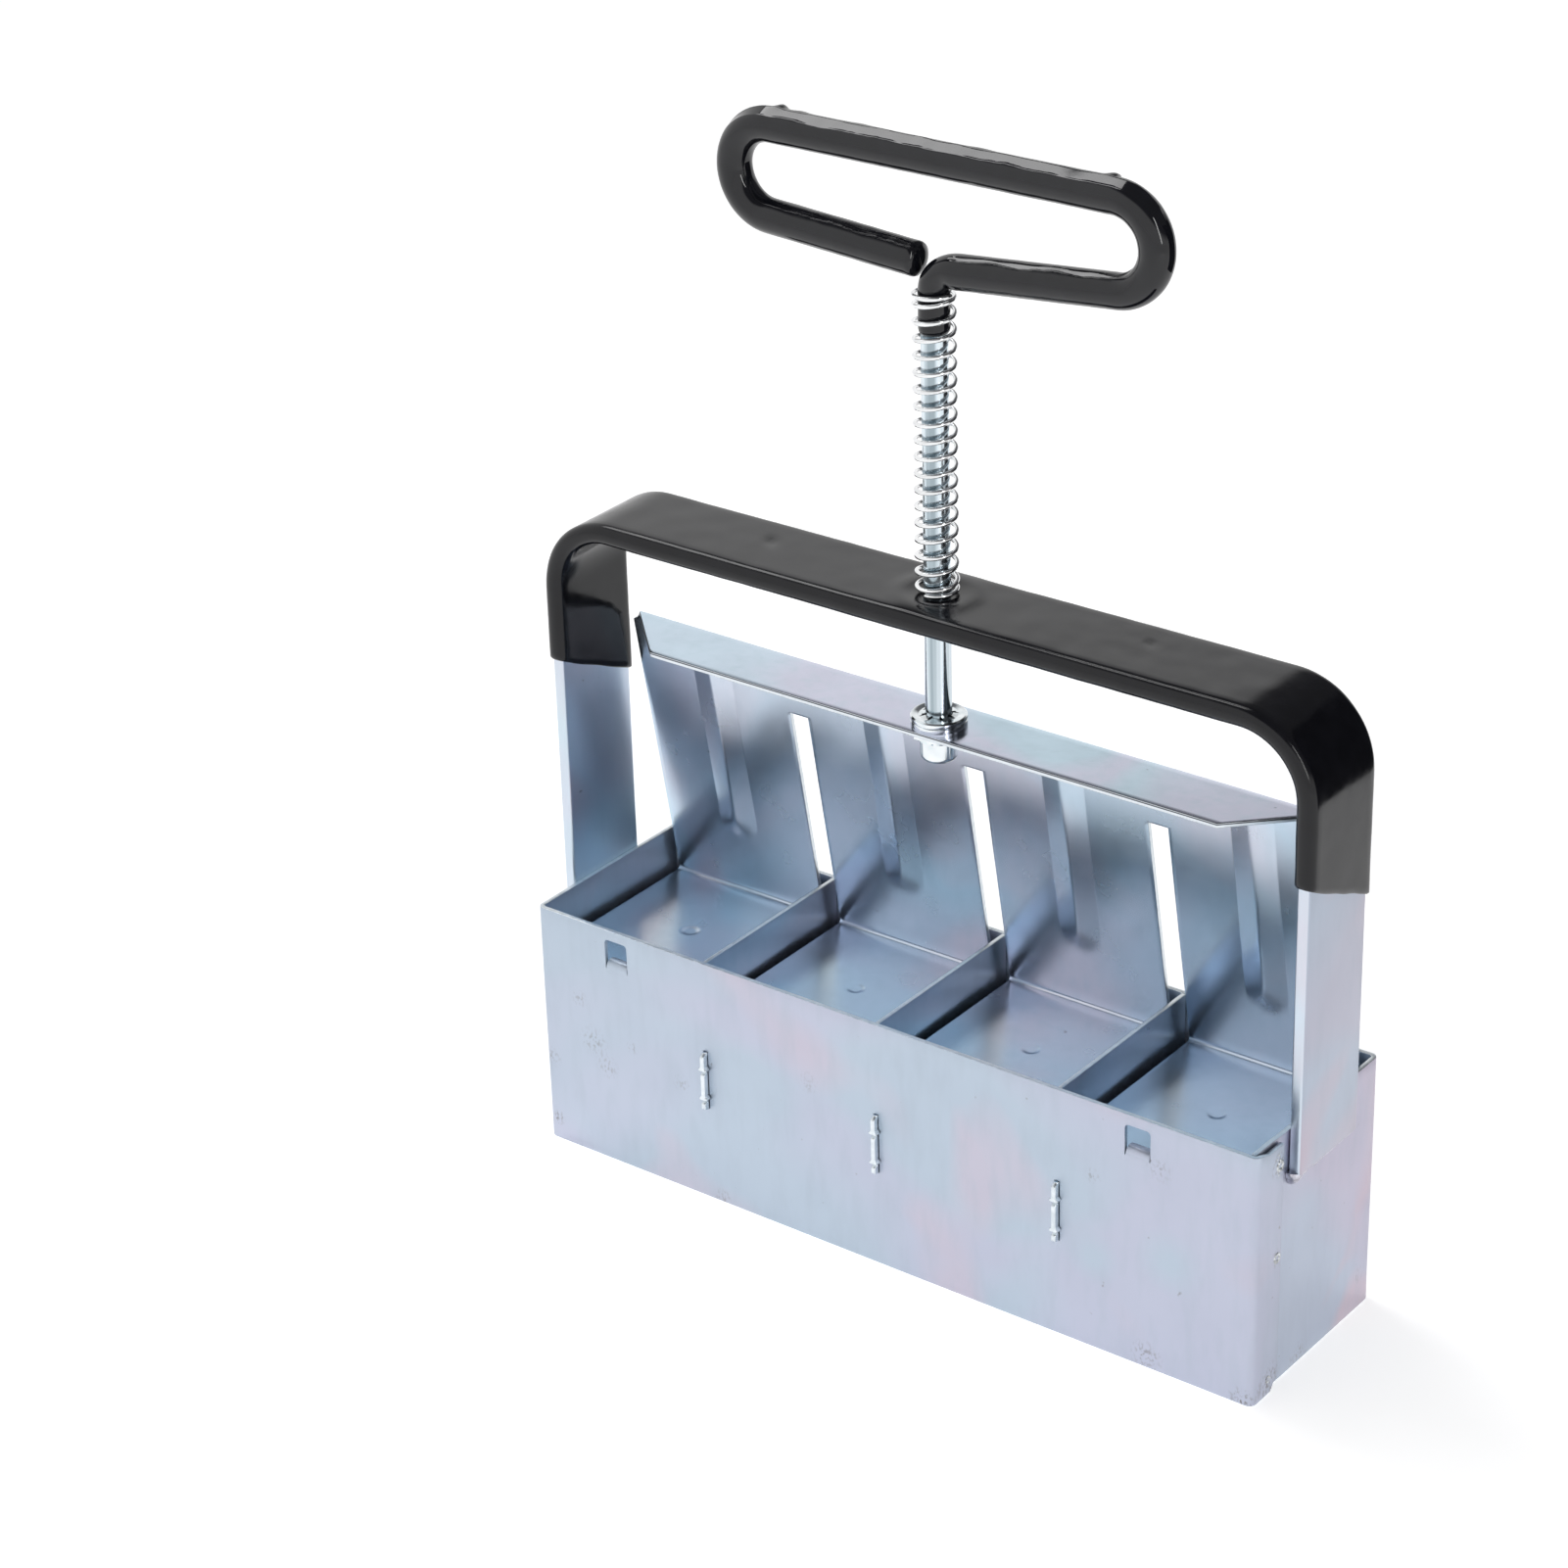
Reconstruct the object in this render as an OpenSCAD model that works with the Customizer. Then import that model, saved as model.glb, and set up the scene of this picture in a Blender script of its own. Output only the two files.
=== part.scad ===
// Hand-held soil blocker with four square cells in a row, a sprung plunger and a loop handle.
// Lengths are in millimetres. X runs along the row of cells, the front wall is at -Y and +Z is up.
// The box stands with its bottom rim at Z = 0, and the push rod is the Z axis itself.

/* [Box] */
// Inside width of one cell along the row
cell_w = 50.8; // [48:0.2:54]
// Inside depth of the cells from front wall to back wall
cell_d = 53; // [51:0.5:55]
// Height of the box walls
box_h = 66.7; // [66.2:0.1:70]
// Thickness of the sheet metal
sheet = 1.2; // [1:0.1:1.4]
// Outside radius of the folded corners
corner_r = 2; // [1.6:0.1:3]
// Width of the flange that laps over the right end wall
lap_w = 11; // [8:0.5:12]
// Diameter of each weld on the lap flange
lap_weld_d = 2.6; // [2:0.1:3.4]

/* [Dividers] */
// Height of the tenons that pass through the walls
tenon_h = 16; // [12:1:20]
// Height of the middle of the tenons above the bottom rim
tenon_z = 34; // [30:1:40]
// How far the tenons stand out of the walls
tenon_out = 1.7; // [1:0.1:2.2]

/* [Stop windows] */
// Width of the windows in the front wall
window_w = 6.9; // [6:0.1:9]
// Distance from the rim down to the top of the windows
window_drop = 2.7; // [1.7:0.1:5.7]
// Distance of each window from their middle
window_x = 76.7; // [70:0.1:82]
// Sideways offset of both windows
window_shift = -2.7; // [-3:0.1:0]

/* [Frame strap] */
// Width of the flat bar
bar_w = 25.4; // [20:0.2:30]
// Thickness of the flat bar
bar_t = 3.2; // [3:0.1:4]
// Height of the top face of the bar above the bottom rim
strap_top = 167.2; // [163:0.2:170]
// Inside radius of the two bends
strap_bend = 16; // [10:1:22]
// How far the legs reach down over the end walls
leg_lap = 11.3; // [10.8:0.1:20]
// Diameter of the hole that guides the push rod
guide_d = 7.2; // [7.1:0.1:7.6]
// Thickness of the dipped coating on the bar
coat_t = 1.2; // [0.8:0.1:1.5]
// Height at which the coating ends on the middle of the legs
coat_end = 123; // [115:1:135]
// Slope of the line where the coating ends
coat_slope = 24; // [0:1:30]

/* [Plunger sheet] */
// Free travel of the plunger
travel = 50; // [48:0.5:50]
// Distance from the rim down to the plates' top faces in the raised position
plate_drop = 11.2; // [10.7:0.1:11.7]
// Gap between a plate and the walls at its sides
plate_gap = 2.1; // [1.6:0.1:2.6]
// Depth of the plates from front to back
plate_d = 50.5; // [48.5:0.5:51]
// Gap between the back wall and the plunger
back_gap = 0.5; // [0.4:0.1:0.8]
// Height of the top face of the flange
flange_top = 135; // [133:0.5:137]
// Forward lean of the web
web_lean = 10.4; // [8:0.2:12]
// Depth of the flange in front of the web
flange_d = 19.6; // [17:0.2:21]
// Width of the flange's front edge
flange_w = 161.5; // [150:0.5:170]
// Inside radius of the folds
fold_r = 1.2; // [0.8:0.1:2]
// Width of the pressed ribs
rib_w = 11.6; // [9:0.2:13]
// Height of the pressed ribs
rib_h = 2; // [1.5:0.1:2.5]
// Outside diameter of the seed dimples
dimple_d = 5; // [4.4:0.1:7]
// How far the seed dimples reach down below the plates
dimple_h = 1.4; // [1:0.1:2.4]

/* [Push rod] */
// Diameter of the rod
rod_d = 6.35; // [6:0.05:6.4]
// Height of the middle of the handle's top bar
loop_top = 272.1; // [270:0.5:280]
// Middle of the handle's left end
loop_left = -55.3; // [-65:0.5:-50]
// Middle of the handle's right end
loop_right = 58.4; // [50:0.5:65]
// Radius of the handle's right end
right_r = 10.6; // [10:0.1:11.5]
// Radius of the handle's left end
left_r = 10.8; // [10:0.1:11.5]
// Rise of the handle's lower right bar
right_rise = 5.2; // [4:0.2:6]
// Rise of the handle's lower left bar
left_rise = 3.5; // [2:0.2:5]
// Thickness of the dipped coating on the handle
grip_t = 1.3; // [1:0.1:1.6]
// How far the thin part of the coating runs down the rod
grip_run = 9; // [6:0.5:12]

/* [Spring] */
// Diameter of the spring wire
wire_d = 1.15; // [1:0.05:1.15]
// Outside diameter of the spring
spring_d = 10.5; // [10.4:0.1:12]
// Number of turns
turns = 19.25; // [16:0.25:19.5]

/* [Flange joint] */
// Diameter of the washer and the toothed ring
washer_d = 13.5; // [12:0.5:16]
// Thickness of the washer and the toothed ring
washer_t = 1.3; // [1:0.1:1.6]
// Width across the flats of the nut
nut_af = 11.1; // [10.5:0.1:12]
// Thickness of the nut's hexagon
nut_t = 2.2; // [2:0.1:3]
// Diameter of the nut's cap
cap_d = 9; // [8.5:0.1:9.5]
// Height of the nut's cap
cap_h = 5.8; // [5:0.1:8]

/* [Hidden] */
$fn = 48;

zinc = [0.74, 0.79, 0.85];
zinc_dark = [0.62, 0.67, 0.74];
weld_grey = [0.45, 0.45, 0.47];
vinyl = [0.13, 0.13, 0.14];
bright = [0.82, 0.83, 0.85];

eps = 0.02;          // gap between pieces that are fixed face to face
over = 1;            // how far a cutter runs past the face it cuts
big = 400;           // size of a cutter that takes everything on its side

cells = 4;
pitch = cell_w + sheet;
half_l = cells * pitch / 2 + sheet / 2;      // outside of the end walls
half_d = cell_d / 2 + sheet;                 // outside of the front and back walls
divider_x = [-pitch, 0, pitch];
panel_x = [-1.5 * pitch, -0.5 * pitch, 0.5 * pitch, 1.5 * pitch];

// Lap flange on the right end wall
lap_gap = 0.1;
edge_gap = 0.2;
lap_in = half_l + lap_gap;
lap_out = lap_in + sheet;
lap_end = -half_d + lap_w;
lap_drop = 1;                                // the flange's top edge is this far below the rim
lap_round = 4;                               // radius of its lower free corner
lap_weld_from_edge = 0.5;
lap_weld_proud = 0.25;
lap_weld_y = lap_end - lap_weld_from_edge - lap_weld_d / 2;
lap_weld_drop = 6.2;                         // from the rim down to the top weld
lap_weld_lift = 2.6;                         // from the wall's middle up to the middle weld
lap_weld_low = 4.2;                          // height of the lowest weld
lap_weld_in = 2.6;                           // the lowest weld lies this much further in
lap_weld_spots = [[lap_weld_y, box_h - lap_weld_drop],
                  [lap_weld_y, box_h / 2 + lap_weld_lift],
                  [lap_weld_y - lap_weld_in, lap_weld_low]];

// Tenons and their slots
slot_fit = 0.1;
end_fit = 0.1;
tenon_round = 0.9;
notch_w = 0.9;
notch_d = 0.8;
notch_above = 3.4;                           // upper notch above the tenon's middle
notch_below = 4.8;                           // lower notch below the tenon's middle
notch_z = [tenon_z + notch_above, tenon_z - notch_below];

// Windows and the stop tabs cut from them
plate_top = box_h - plate_drop;
window_top = box_h - window_drop;
stop_gap = 0.3;
tab_w = window_w - 1;
tab_fold = 0.6;
tab_straight = 0.4;
tab_z = plate_top + stop_gap + tab_straight; // where the tab starts to fold
slit_depth = 1.6;
window_round = 1;
window_at = [window_shift - window_x, window_shift + window_x];

// Frame strap
leg_in = half_l + eps;
leg_out = leg_in + bar_t;
leg_end = box_h - leg_lap;
strap_under = strap_top - bar_t;
bend_out = strap_bend + bar_t;
weld_drop = 2.4;                             // height of the bead below a leg's end
weld_side = 1.1;                             // how far the bead runs past the bar's edges
weld_in = 0.4;                               // the bead ends this far inside the bar's outer face
weld_return = 2.2;                           // width of the bead on the leg's front edge
weld_rise = 3;                               // height of that bead above the leg's end
coat_top = strap_top + coat_t;

// Plunger sheet
plate_w = cell_w - 2 * plate_gap;
slot_w = pitch - plate_w;
web_half = 1.5 * pitch + plate_w / 2;
slot_spare = 0.3;                            // room between a slot's end and its divider
slot_top = box_h + travel + slot_spare;
slot_round = slot_w / 4;
fold_out = fold_r + sheet;
fold_swell = 0.01;                           // the metal thickens this much at a fold
foot_y = half_d - sheet - back_gap - fold_out;
foot_z = plate_top + fold_r;
head_z = flange_top - fold_out;
web_len = (head_z - foot_z) / cos(web_lean);
head_y = foot_y - web_len * sin(web_lean);
plate_front = half_d - sheet - back_gap - plate_d;
flange_front = head_y + fold_out - flange_d;
chamfer = web_half - flange_w / 2;
rod_fit = 0.3;
flange_hole_d = rod_d + rod_fit;
rib_low = 16;                                // from the foot fold to the rib's lower tip
rib_high = 3;                                // from the rib's upper tip to the head fold
rib_r = (rib_w * rib_w / 4 + rib_h * rib_h) / (2 * rib_h);
rib_sink = rib_r - rib_h;                    // depth of the rib's axis behind the web's face
dimple_wall = 0.7 * sheet;                   // the pressed metal is thinner than the sheet
dimple_tip_d = dimple_d - 2 * dimple_wall;

// Push rod and its handle loop
rod_r = rod_d / 2;
elbow_r = rod_d;                             // bent round a pin of the rod's own size
right_c = [loop_right - right_r, loop_top - right_r];
left_c = [loop_left + left_r, loop_top - left_r];
right_low = [right_c[0] + right_r * sin(right_rise), right_c[1] - right_r * cos(right_rise)];
left_low = [left_c[0] - left_r * sin(left_rise), left_c[1] - left_r * cos(left_rise)];
elbow_x = elbow_r * (1 - sin(right_rise));
elbow_end = [elbow_x, right_low[1] - (right_low[0] - elbow_x) * tan(right_rise)];
elbow_z = elbow_end[1] - elbow_r * cos(right_rise);
grip_r = rod_r + grip_t;
thin_t = 0.5;                                // coating on the rod below the elbow
thin_r = rod_r + thin_t;
elbow_grip_t = 0.7;                          // coating round the elbow
elbow_grip_r = rod_r + elbow_grip_t;
joint_trim = 0.1;                            // a straight bar stops this far before its bends
knuckle_grow = 0.05;
collar_h = 0.6;                              // edge of the thick coating below the elbow
grip_end_x = -3.4;                           // face of the coated free end
free_end_x = grip_end_x - grip_t;            // face of the rod's free end
free_end = [free_end_x, left_low[1] - (free_end_x - left_low[0]) * tan(left_rise)];
grip_end = [grip_end_x, left_low[1] - (grip_end_x - left_low[0]) * tan(left_rise)];

// Spring
spring_seat = 0.05;                          // room between the spring and the coating
spring_bottom = coat_top + spring_seat;
spring_top = elbow_z + wire_d;
wire_r = wire_d / 2;
coil_r = spring_d / 2 - wire_r;
wire_sides = 8;
steps_per_turn = 16;
dead_turns = 1;                              // closed turns at each end
dead_gap = 0.06;                             // room between closed turns
dead_pitch = wire_d + dead_gap;
start_angle = -91;

// Flange joint
ring_bore_d = 8.1;
tooth_fit = 0.2;
tooth_tip_d = rod_d + tooth_fit;
teeth = 8;
tooth_gap_w = 1.2;
flange_under = flange_top - sheet;
nut_under = flange_under - nut_t;
cap_under = nut_under - cap_h;
cap_round = 1.6;
cap_floor = 1.5;
cap_fit = 0.1;                               // room between the rod's end and the cap
rod_bottom = cap_under + cap_floor + cap_fit;
rod_chamfer = 0.6;

// ---------------------------------------------------------------- shared shapes

// Part of a flat ring between two angles, which is how a fold looks from its end.
module ring_sector(r_in, r_out, from, to) {
    far = 2 * r_out;
    mid = (from + to) / 2;
    intersection() {
        difference() {
            circle(r = r_out);
            circle(r = r_in);
        }
        polygon([[0, 0], far * [cos(from), sin(from)],
                 far * [cos(mid), sin(mid)], far * [cos(to), sin(to)]]);
    }
}

// Outline with two round upper corners, as a bent bar or a window shows from the front.
module arch(half, low, top, r) {
    translate([-half, low]) square([2 * half, top - r - low]);
    translate([-half + r, top - r - eps]) square([2 * (half - r), r + eps]);
    translate([half - r, top - r]) circle(r = r);
    translate([-half + r, top - r]) circle(r = r);
}

// Stands an outline drawn in X and Z up, with its thickness centred on Y = 0.
module stand(depth) {
    rotate([90, 0, 0]) linear_extrude(depth, center = true) children();
}

// Stands an outline drawn in Y and Z up, from x0 on along +X.
module stand_along(x0, length) {
    translate([x0, 0, 0]) rotate([90, 0, 90]) linear_extrude(length) children();
}

// Straight round bar between two points of the handle's plane, cut short at its two ends
// by the given lengths, where a knuckle takes over.
module bar_between(from, to, r, trim_from, trim_to) {
    run = to - from;
    translate([from[0], 0, from[1]])
        rotate([0, 90 - atan2(run[1], run[0]), 0])
            translate([0, 0, trim_from]) cylinder(h = norm(run) - trim_from - trim_to, r = r);
}

// Ball, just larger than the bar, that joins a straight stretch to a bend.
module knuckle(at, r) {
    translate([at[0], 0, at[1]]) sphere(r = r + knuckle_grow);
}

// Round bar bent about a centre in the handle's plane, between two angles.
module bar_bend(centre, bend_r, from, to, r) {
    translate([centre[0], 0, centre[1]])
        rotate([90, 0, 0]) rotate([0, 0, from])
            rotate_extrude(angle = to - from) translate([bend_r, 0]) circle(r = r);
}

// ---------------------------------------------------------------- box

module wall_outline() {
    inner_r = corner_r - sheet;
    bend_x = lap_out - corner_r;
    difference() {
        union() {
            square([2 * half_l, 2 * (half_d - corner_r)], center = true);
            square([2 * (half_l - corner_r), 2 * half_d], center = true);
            for (x = [-1, 1], y = [-1, 1])
                translate([x * (half_l - corner_r), y * (half_d - corner_r)])
                    circle(r = corner_r);
        }
        square([2 * (half_l - sheet), 2 * (half_d - sheet - inner_r)], center = true);
        square([2 * (half_l - sheet - inner_r), 2 * (half_d - sheet)], center = true);
        for (x = [-1, 1], y = [-1, 1])
            translate([x * (half_l - corner_r), y * (half_d - corner_r)])
                circle(r = inner_r);
        // the sheet's two ends meet at the right front corner
        translate([half_l - 2 * corner_r, -half_d - over])
            square([2 * corner_r + over, over + 2 * corner_r]);
    }
    // end wall up to its free edge
    translate([half_l - sheet, -half_d + sheet + edge_gap])
        square([sheet, 2 * corner_r - sheet - edge_gap + eps]);
    // front wall up to the fold of the lap flange
    translate([half_l - 2 * corner_r - eps, -half_d])
        square([bend_x - half_l + 2 * corner_r + eps, sheet]);
    translate([bend_x, -half_d + corner_r])
        ring_sector(corner_r - sheet, corner_r, -90, 0);
}

module lap_flange() {
    start = -half_d + corner_r - eps;
    top = box_h - lap_drop;
    difference() {
        stand_along(lap_in, sheet) {
            translate([start, lap_round]) square([lap_end - start, top - lap_round]);
            translate([start, 0]) square([lap_end - lap_round - start, lap_round + eps]);
            translate([lap_end - lap_round, lap_round]) circle(r = lap_round);
        }
        for (spot = lap_weld_spots)
            translate([lap_in - over, spot[0], spot[1]])
                rotate([0, 90, 0]) cylinder(h = sheet + 2 * over, d = lap_weld_d);
    }
}

module window_cut() {
    slit = (window_w - tab_w) / 2;
    stand(2 * over + sheet) {
        arch(window_w / 2, tab_z, window_top, window_round);
        translate([-window_w / 2, tab_z - slit_depth]) square([slit, slit_depth + over]);
        translate([tab_w / 2, tab_z - slit_depth]) square([slit, slit_depth + over]);
    }
}

// The tongue of sheet that is folded inward as a stop for the plates.
module stop_tab() {
    fold_y = -half_d + sheet + tab_fold;
    stand_along(-tab_w / 2, tab_w) {
        translate([fold_y, tab_z]) ring_sector(tab_fold, tab_fold + sheet, 0, 180);
        translate([-half_d, tab_z - eps]) square([sheet, 2 * eps]);
        translate([fold_y + tab_fold, tab_z - tab_straight])
            square([sheet, tab_straight + eps]);
    }
}

module box_wall() {
    slot_h = tenon_h + 2 * slot_fit;
    color(zinc) {
        difference() {
            linear_extrude(box_h) wall_outline();
            for (x = divider_x)
                translate([x - sheet / 2 - slot_fit, -half_d - over, tenon_z - slot_h / 2])
                    cube([sheet + 2 * slot_fit, 2 * (half_d + over), slot_h]);
            for (x = window_at)
                translate([x, -half_d + sheet / 2, 0]) window_cut();
        }
        lap_flange();
        for (x = window_at) translate([x, 0, 0]) stop_tab();
    }
}

// Three round welds that hold the lap flange to the end wall.
module lap_welds() {
    color(weld_grey)
        for (spot = lap_weld_spots)
            translate([half_l + eps, spot[0], spot[1]])
                rotate([0, 90, 0])
                    cylinder(h = lap_out + lap_weld_proud - half_l - eps,
                             d = lap_weld_d - 2 * eps);
}

// ---------------------------------------------------------------- dividers

module tenon_outline() {
    reach = half_d + tenon_out;
    low = tenon_z - tenon_h / 2;
    top = tenon_z + tenon_h / 2;
    difference() {
        union() {
            translate([0, low]) square([reach, tenon_h - tenon_round]);
            translate([0, top - tenon_round - eps])
                square([reach - tenon_round, tenon_round + eps]);
            translate([reach - tenon_round, top - tenon_round]) circle(r = tenon_round);
        }
        for (z = notch_z)
            translate([reach - notch_d, z - notch_w / 2]) square([notch_d + over, notch_w]);
    }
}

module divider(x) {
    width = cell_d - 2 * end_fit;
    color(zinc_dark)
        stand_along(x - sheet / 2, sheet) {
            translate([-width / 2, 0]) square([width, box_h]);
            tenon_outline();
            mirror([1, 0]) tenon_outline();
        }
}

module divider_left() { divider(divider_x[0]); }
module divider_middle() { divider(divider_x[1]); }
module divider_right() { divider(divider_x[2]); }

// ---------------------------------------------------------------- frame

module frame_strap() {
    color(zinc)
        difference() {
            stand(bar_w) difference() {
                arch(leg_out, leg_end, strap_top, bend_out);
                arch(leg_in, leg_end - over, strap_under, strap_bend);
            }
            translate([0, 0, strap_under - over]) cylinder(h = bar_t + 2 * over, d = guide_d);
        }
}

// Weld bead under a leg's end, with a short return up its front edge.
module strap_weld() {
    wall = half_l + eps;
    foot = leg_end - eps;
    front = -bar_w / 2 - eps;
    stand(bar_w + 2 * weld_side)
        polygon([[wall, foot], [leg_out - weld_in, foot], [wall, foot - weld_drop]]);
    translate([0, 0, foot - weld_drop / 2])
        linear_extrude(weld_drop / 2 + weld_rise)
            polygon([[wall, front], [leg_out - 2 * weld_in, front], [wall, front - weld_return]]);
}

module strap_weld_right() {
    color(weld_grey) strap_weld();
}

module strap_weld_left() {
    color(weld_grey) mirror([1, 0, 0]) strap_weld();
}

// Everything above the sloping line where the dipped coating ends.
module above_coat_end() {
    translate([0, 0, coat_end]) rotate([-coat_slope, 0, 0])
        translate([-big / 2, -big / 2, 0]) cube(big);
}

module frame_coating() {
    low = coat_end - bar_w;
    color(vinyl)
        intersection() {
            difference() {
                stand(bar_w + 2 * coat_t) difference() {
                    arch(leg_out + coat_t, low, coat_top, bend_out + coat_t);
                    arch(leg_in - coat_t, low - over, strap_under - coat_t,
                         strap_bend - coat_t);
                }
                stand(bar_w + 2 * eps) difference() {
                    arch(leg_out + eps, low - over, strap_top + eps, bend_out + eps);
                    arch(leg_in - eps, low - 2 * over, strap_under - eps, strap_bend - eps);
                }
                translate([0, 0, strap_under - coat_t - over])
                    cylinder(h = bar_t + 2 * coat_t + 2 * over, d = guide_d);
            }
            above_coat_end();
        }
}

// ---------------------------------------------------------------- plunger

// Everything in front of one face of the folded sheet, seen from the end with Z up.
// The face runs back along the plate, up the web and forward along the flange.
module in_front_of_face(r, front) {
    back = r * [cos(web_lean), sin(web_lean)];
    foot = [foot_y, foot_z];
    head = [head_y, head_z];
    polygon([[plate_front - front, foot_z - r], [foot_y, foot_z - r], foot + back,
             head + back, [head_y, head_z + r], [flange_front - front, head_z + r],
             [flange_front - front, flange_top - sheet], [plate_front - front, plate_top]]);
    translate(foot) circle(r = r + fold_swell);
    translate(head) circle(r = r + fold_swell);
}

// The folded sheet seen from its end.
module plunger_profile() {
    difference() {
        in_front_of_face(fold_out, 0);
        in_front_of_face(fold_r, over);
    }
}

// A long dome with round ends, lying along the web with its axis behind it.
module rib_dome(x, r) {
    tip = rib_w / 2;
    length = web_len - rib_low - rib_high - 2 * tip;
    translate([x, foot_y, foot_z]) rotate([web_lean, 0, 0])
        translate([0, fold_r + rib_sink, rib_low + tip]) {
            cylinder(h = length, r = r);
            sphere(r = r);
            translate([0, 0, length]) sphere(r = r);
        }
}

// The layer in front of the web's middle, where a pressed rib may stand out.
module rib_layer() {
    translate([0, foot_y, foot_z]) rotate([web_lean, 0, 0])
        translate([-web_half, fold_r - rib_h - over, 0])
            cube([2 * web_half, rib_h + over + sheet / 2, web_len]);
}

// Underside of a seed dimple, which presses the hole for the seed.
module seed_dimple(x) {
    translate([x, 0, plate_top - sheet - dimple_h])
        cylinder(h = dimple_h + eps, d1 = dimple_tip_d, d2 = dimple_d);
}

// Hollow of a seed dimple in the plate's top face.
module seed_pocket(x) {
    translate([x, 0, plate_top - dimple_h])
        cylinder(h = dimple_h + eps, d1 = dimple_tip_d - dimple_wall, d2 = dimple_d - dimple_wall);
}

module plunger_sheet() {
    color(zinc)
        difference() {
            union() {
                stand_along(-web_half, 2 * web_half) plunger_profile();
                intersection() {
                    union() for (x = panel_x) rib_dome(x, rib_r);
                    rib_layer();
                }
                for (x = panel_x) seed_dimple(x);
            }
            for (x = panel_x) {
                rib_dome(x, rib_r - sheet);
                seed_pocket(x);
            }
            // slots that let the sheet pass down over the dividers
            for (x = divider_x)
                translate([x, 0, 0]) stand(2 * half_d) arch(slot_w / 2, 0, slot_top, slot_round);
            // sloping front corners of the flange
            for (side = [-1, 1])
                translate([side * flange_w / 2, flange_front, flange_top - 2 * sheet])
                    rotate([0, 0, -45 * side])
                        translate([side > 0 ? 0 : -2 * chamfer, -2 * chamfer, 0])
                            cube([2 * chamfer, 4 * chamfer, 3 * sheet]);
            translate([0, 0, flange_top - sheet - over])
                cylinder(h = sheet + 2 * over, d = flange_hole_d);
        }
}

// Rod and loop as one bent bar. The rod and elbow take one radius and the loop another.
module rod_line(r, elbow, bottom, end) {
    right_high = [right_c[0], loop_top];
    left_high = [left_c[0], loop_top];
    translate([0, 0, bottom]) cylinder(h = elbow_z - joint_trim - bottom, r = elbow);
    knuckle([0, elbow_z], elbow);
    bar_bend([elbow_r, elbow_z], elbow_r, 90 + right_rise, 180, elbow);
    knuckle(elbow_end, r);
    bar_between(elbow_end, right_low, r, joint_trim, joint_trim);
    knuckle(right_low, r);
    bar_bend(right_c, right_r, right_rise - 90, 90, r);
    knuckle(right_high, r);
    bar_between(right_high, left_high, r, joint_trim, joint_trim);
    knuckle(left_high, r);
    bar_bend(left_c, left_r, 90, 270 - left_rise, r);
    knuckle(left_low, r);
    bar_between(left_low, end, r, joint_trim, 0);
}

module push_rod() {
    color(zinc) {
        rod_line(rod_r, rod_r, rod_bottom + rod_chamfer, free_end);
        translate([0, 0, rod_bottom])
            cylinder(h = rod_chamfer, r1 = rod_r - rod_chamfer, r2 = rod_r);
    }
}

module handle_coating() {
    thin_low = elbow_z - grip_run;
    core_r = rod_r + eps;
    color(vinyl)
        difference() {
            union() {
                rod_line(grip_r, elbow_grip_r, elbow_z - collar_h, grip_end);
                translate([0, 0, thin_low]) cylinder(h = grip_run - collar_h / 2, r = thin_r);
            }
            rod_line(core_r, core_r, thin_low - over, free_end);
        }
}

// ---------------------------------------------------------------- spring

// Height of the wire's middle after t turns from the bottom, with closed turns at both ends.
function wire_z(t) =
    let (rise = spring_top - spring_bottom - wire_d - 2 * dead_turns * dead_pitch,
         live = turns - 2 * dead_turns,
         low = min(t, dead_turns),
         mid = min(max(t - dead_turns, 0), live),
         high = max(t - dead_turns - live, 0))
    spring_bottom + wire_r + (low + high) * dead_pitch + mid * rise / live;

function wire_point(i, side) =
    let (t = i / steps_per_turn,
         a = start_angle + 360 * t,
         b = 360 * side / wire_sides,
         r = coil_r + wire_r * cos(b))
    [r * cos(a), r * sin(a), wire_z(t) + wire_r * sin(b)];

module return_spring() {
    rings = round(turns * steps_per_turn);
    points = [for (i = [0 : rings], s = [0 : wire_sides - 1]) wire_point(i, s)];
    skin = [for (i = [0 : rings - 1], s = [0 : wire_sides - 1])
        let (a = i * wire_sides + s,
             b = i * wire_sides + (s + 1) % wire_sides)
        [a, b, b + wire_sides, a + wire_sides]];
    first = [[for (s = [wire_sides - 1 : -1 : 0]) s]];
    last = [[for (s = [0 : wire_sides - 1]) rings * wire_sides + s]];
    color(bright) polyhedron(points = points, faces = concat(first, skin, last));
}

// ---------------------------------------------------------------- flange joint

module flat_washer() {
    color(bright)
        translate([0, 0, flange_top]) difference() {
            cylinder(h = washer_t, d = washer_d);
            translate([0, 0, -over]) cylinder(h = washer_t + 2 * over, d = flange_hole_d);
        }
}

// Push-on ring whose inner teeth grip the rod.
module toothed_ring() {
    color(bright)
        translate([0, 0, flange_top + washer_t]) difference() {
            cylinder(h = washer_t, d = washer_d);
            translate([0, 0, -over]) cylinder(h = washer_t + 2 * over, d = tooth_tip_d);
            for (k = [0 : teeth - 1])
                rotate([0, 0, 360 * k / teeth])
                    translate([0, -tooth_gap_w / 2, -over])
                        cube([ring_bore_d / 2, tooth_gap_w, washer_t + 2 * over]);
        }
}

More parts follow.
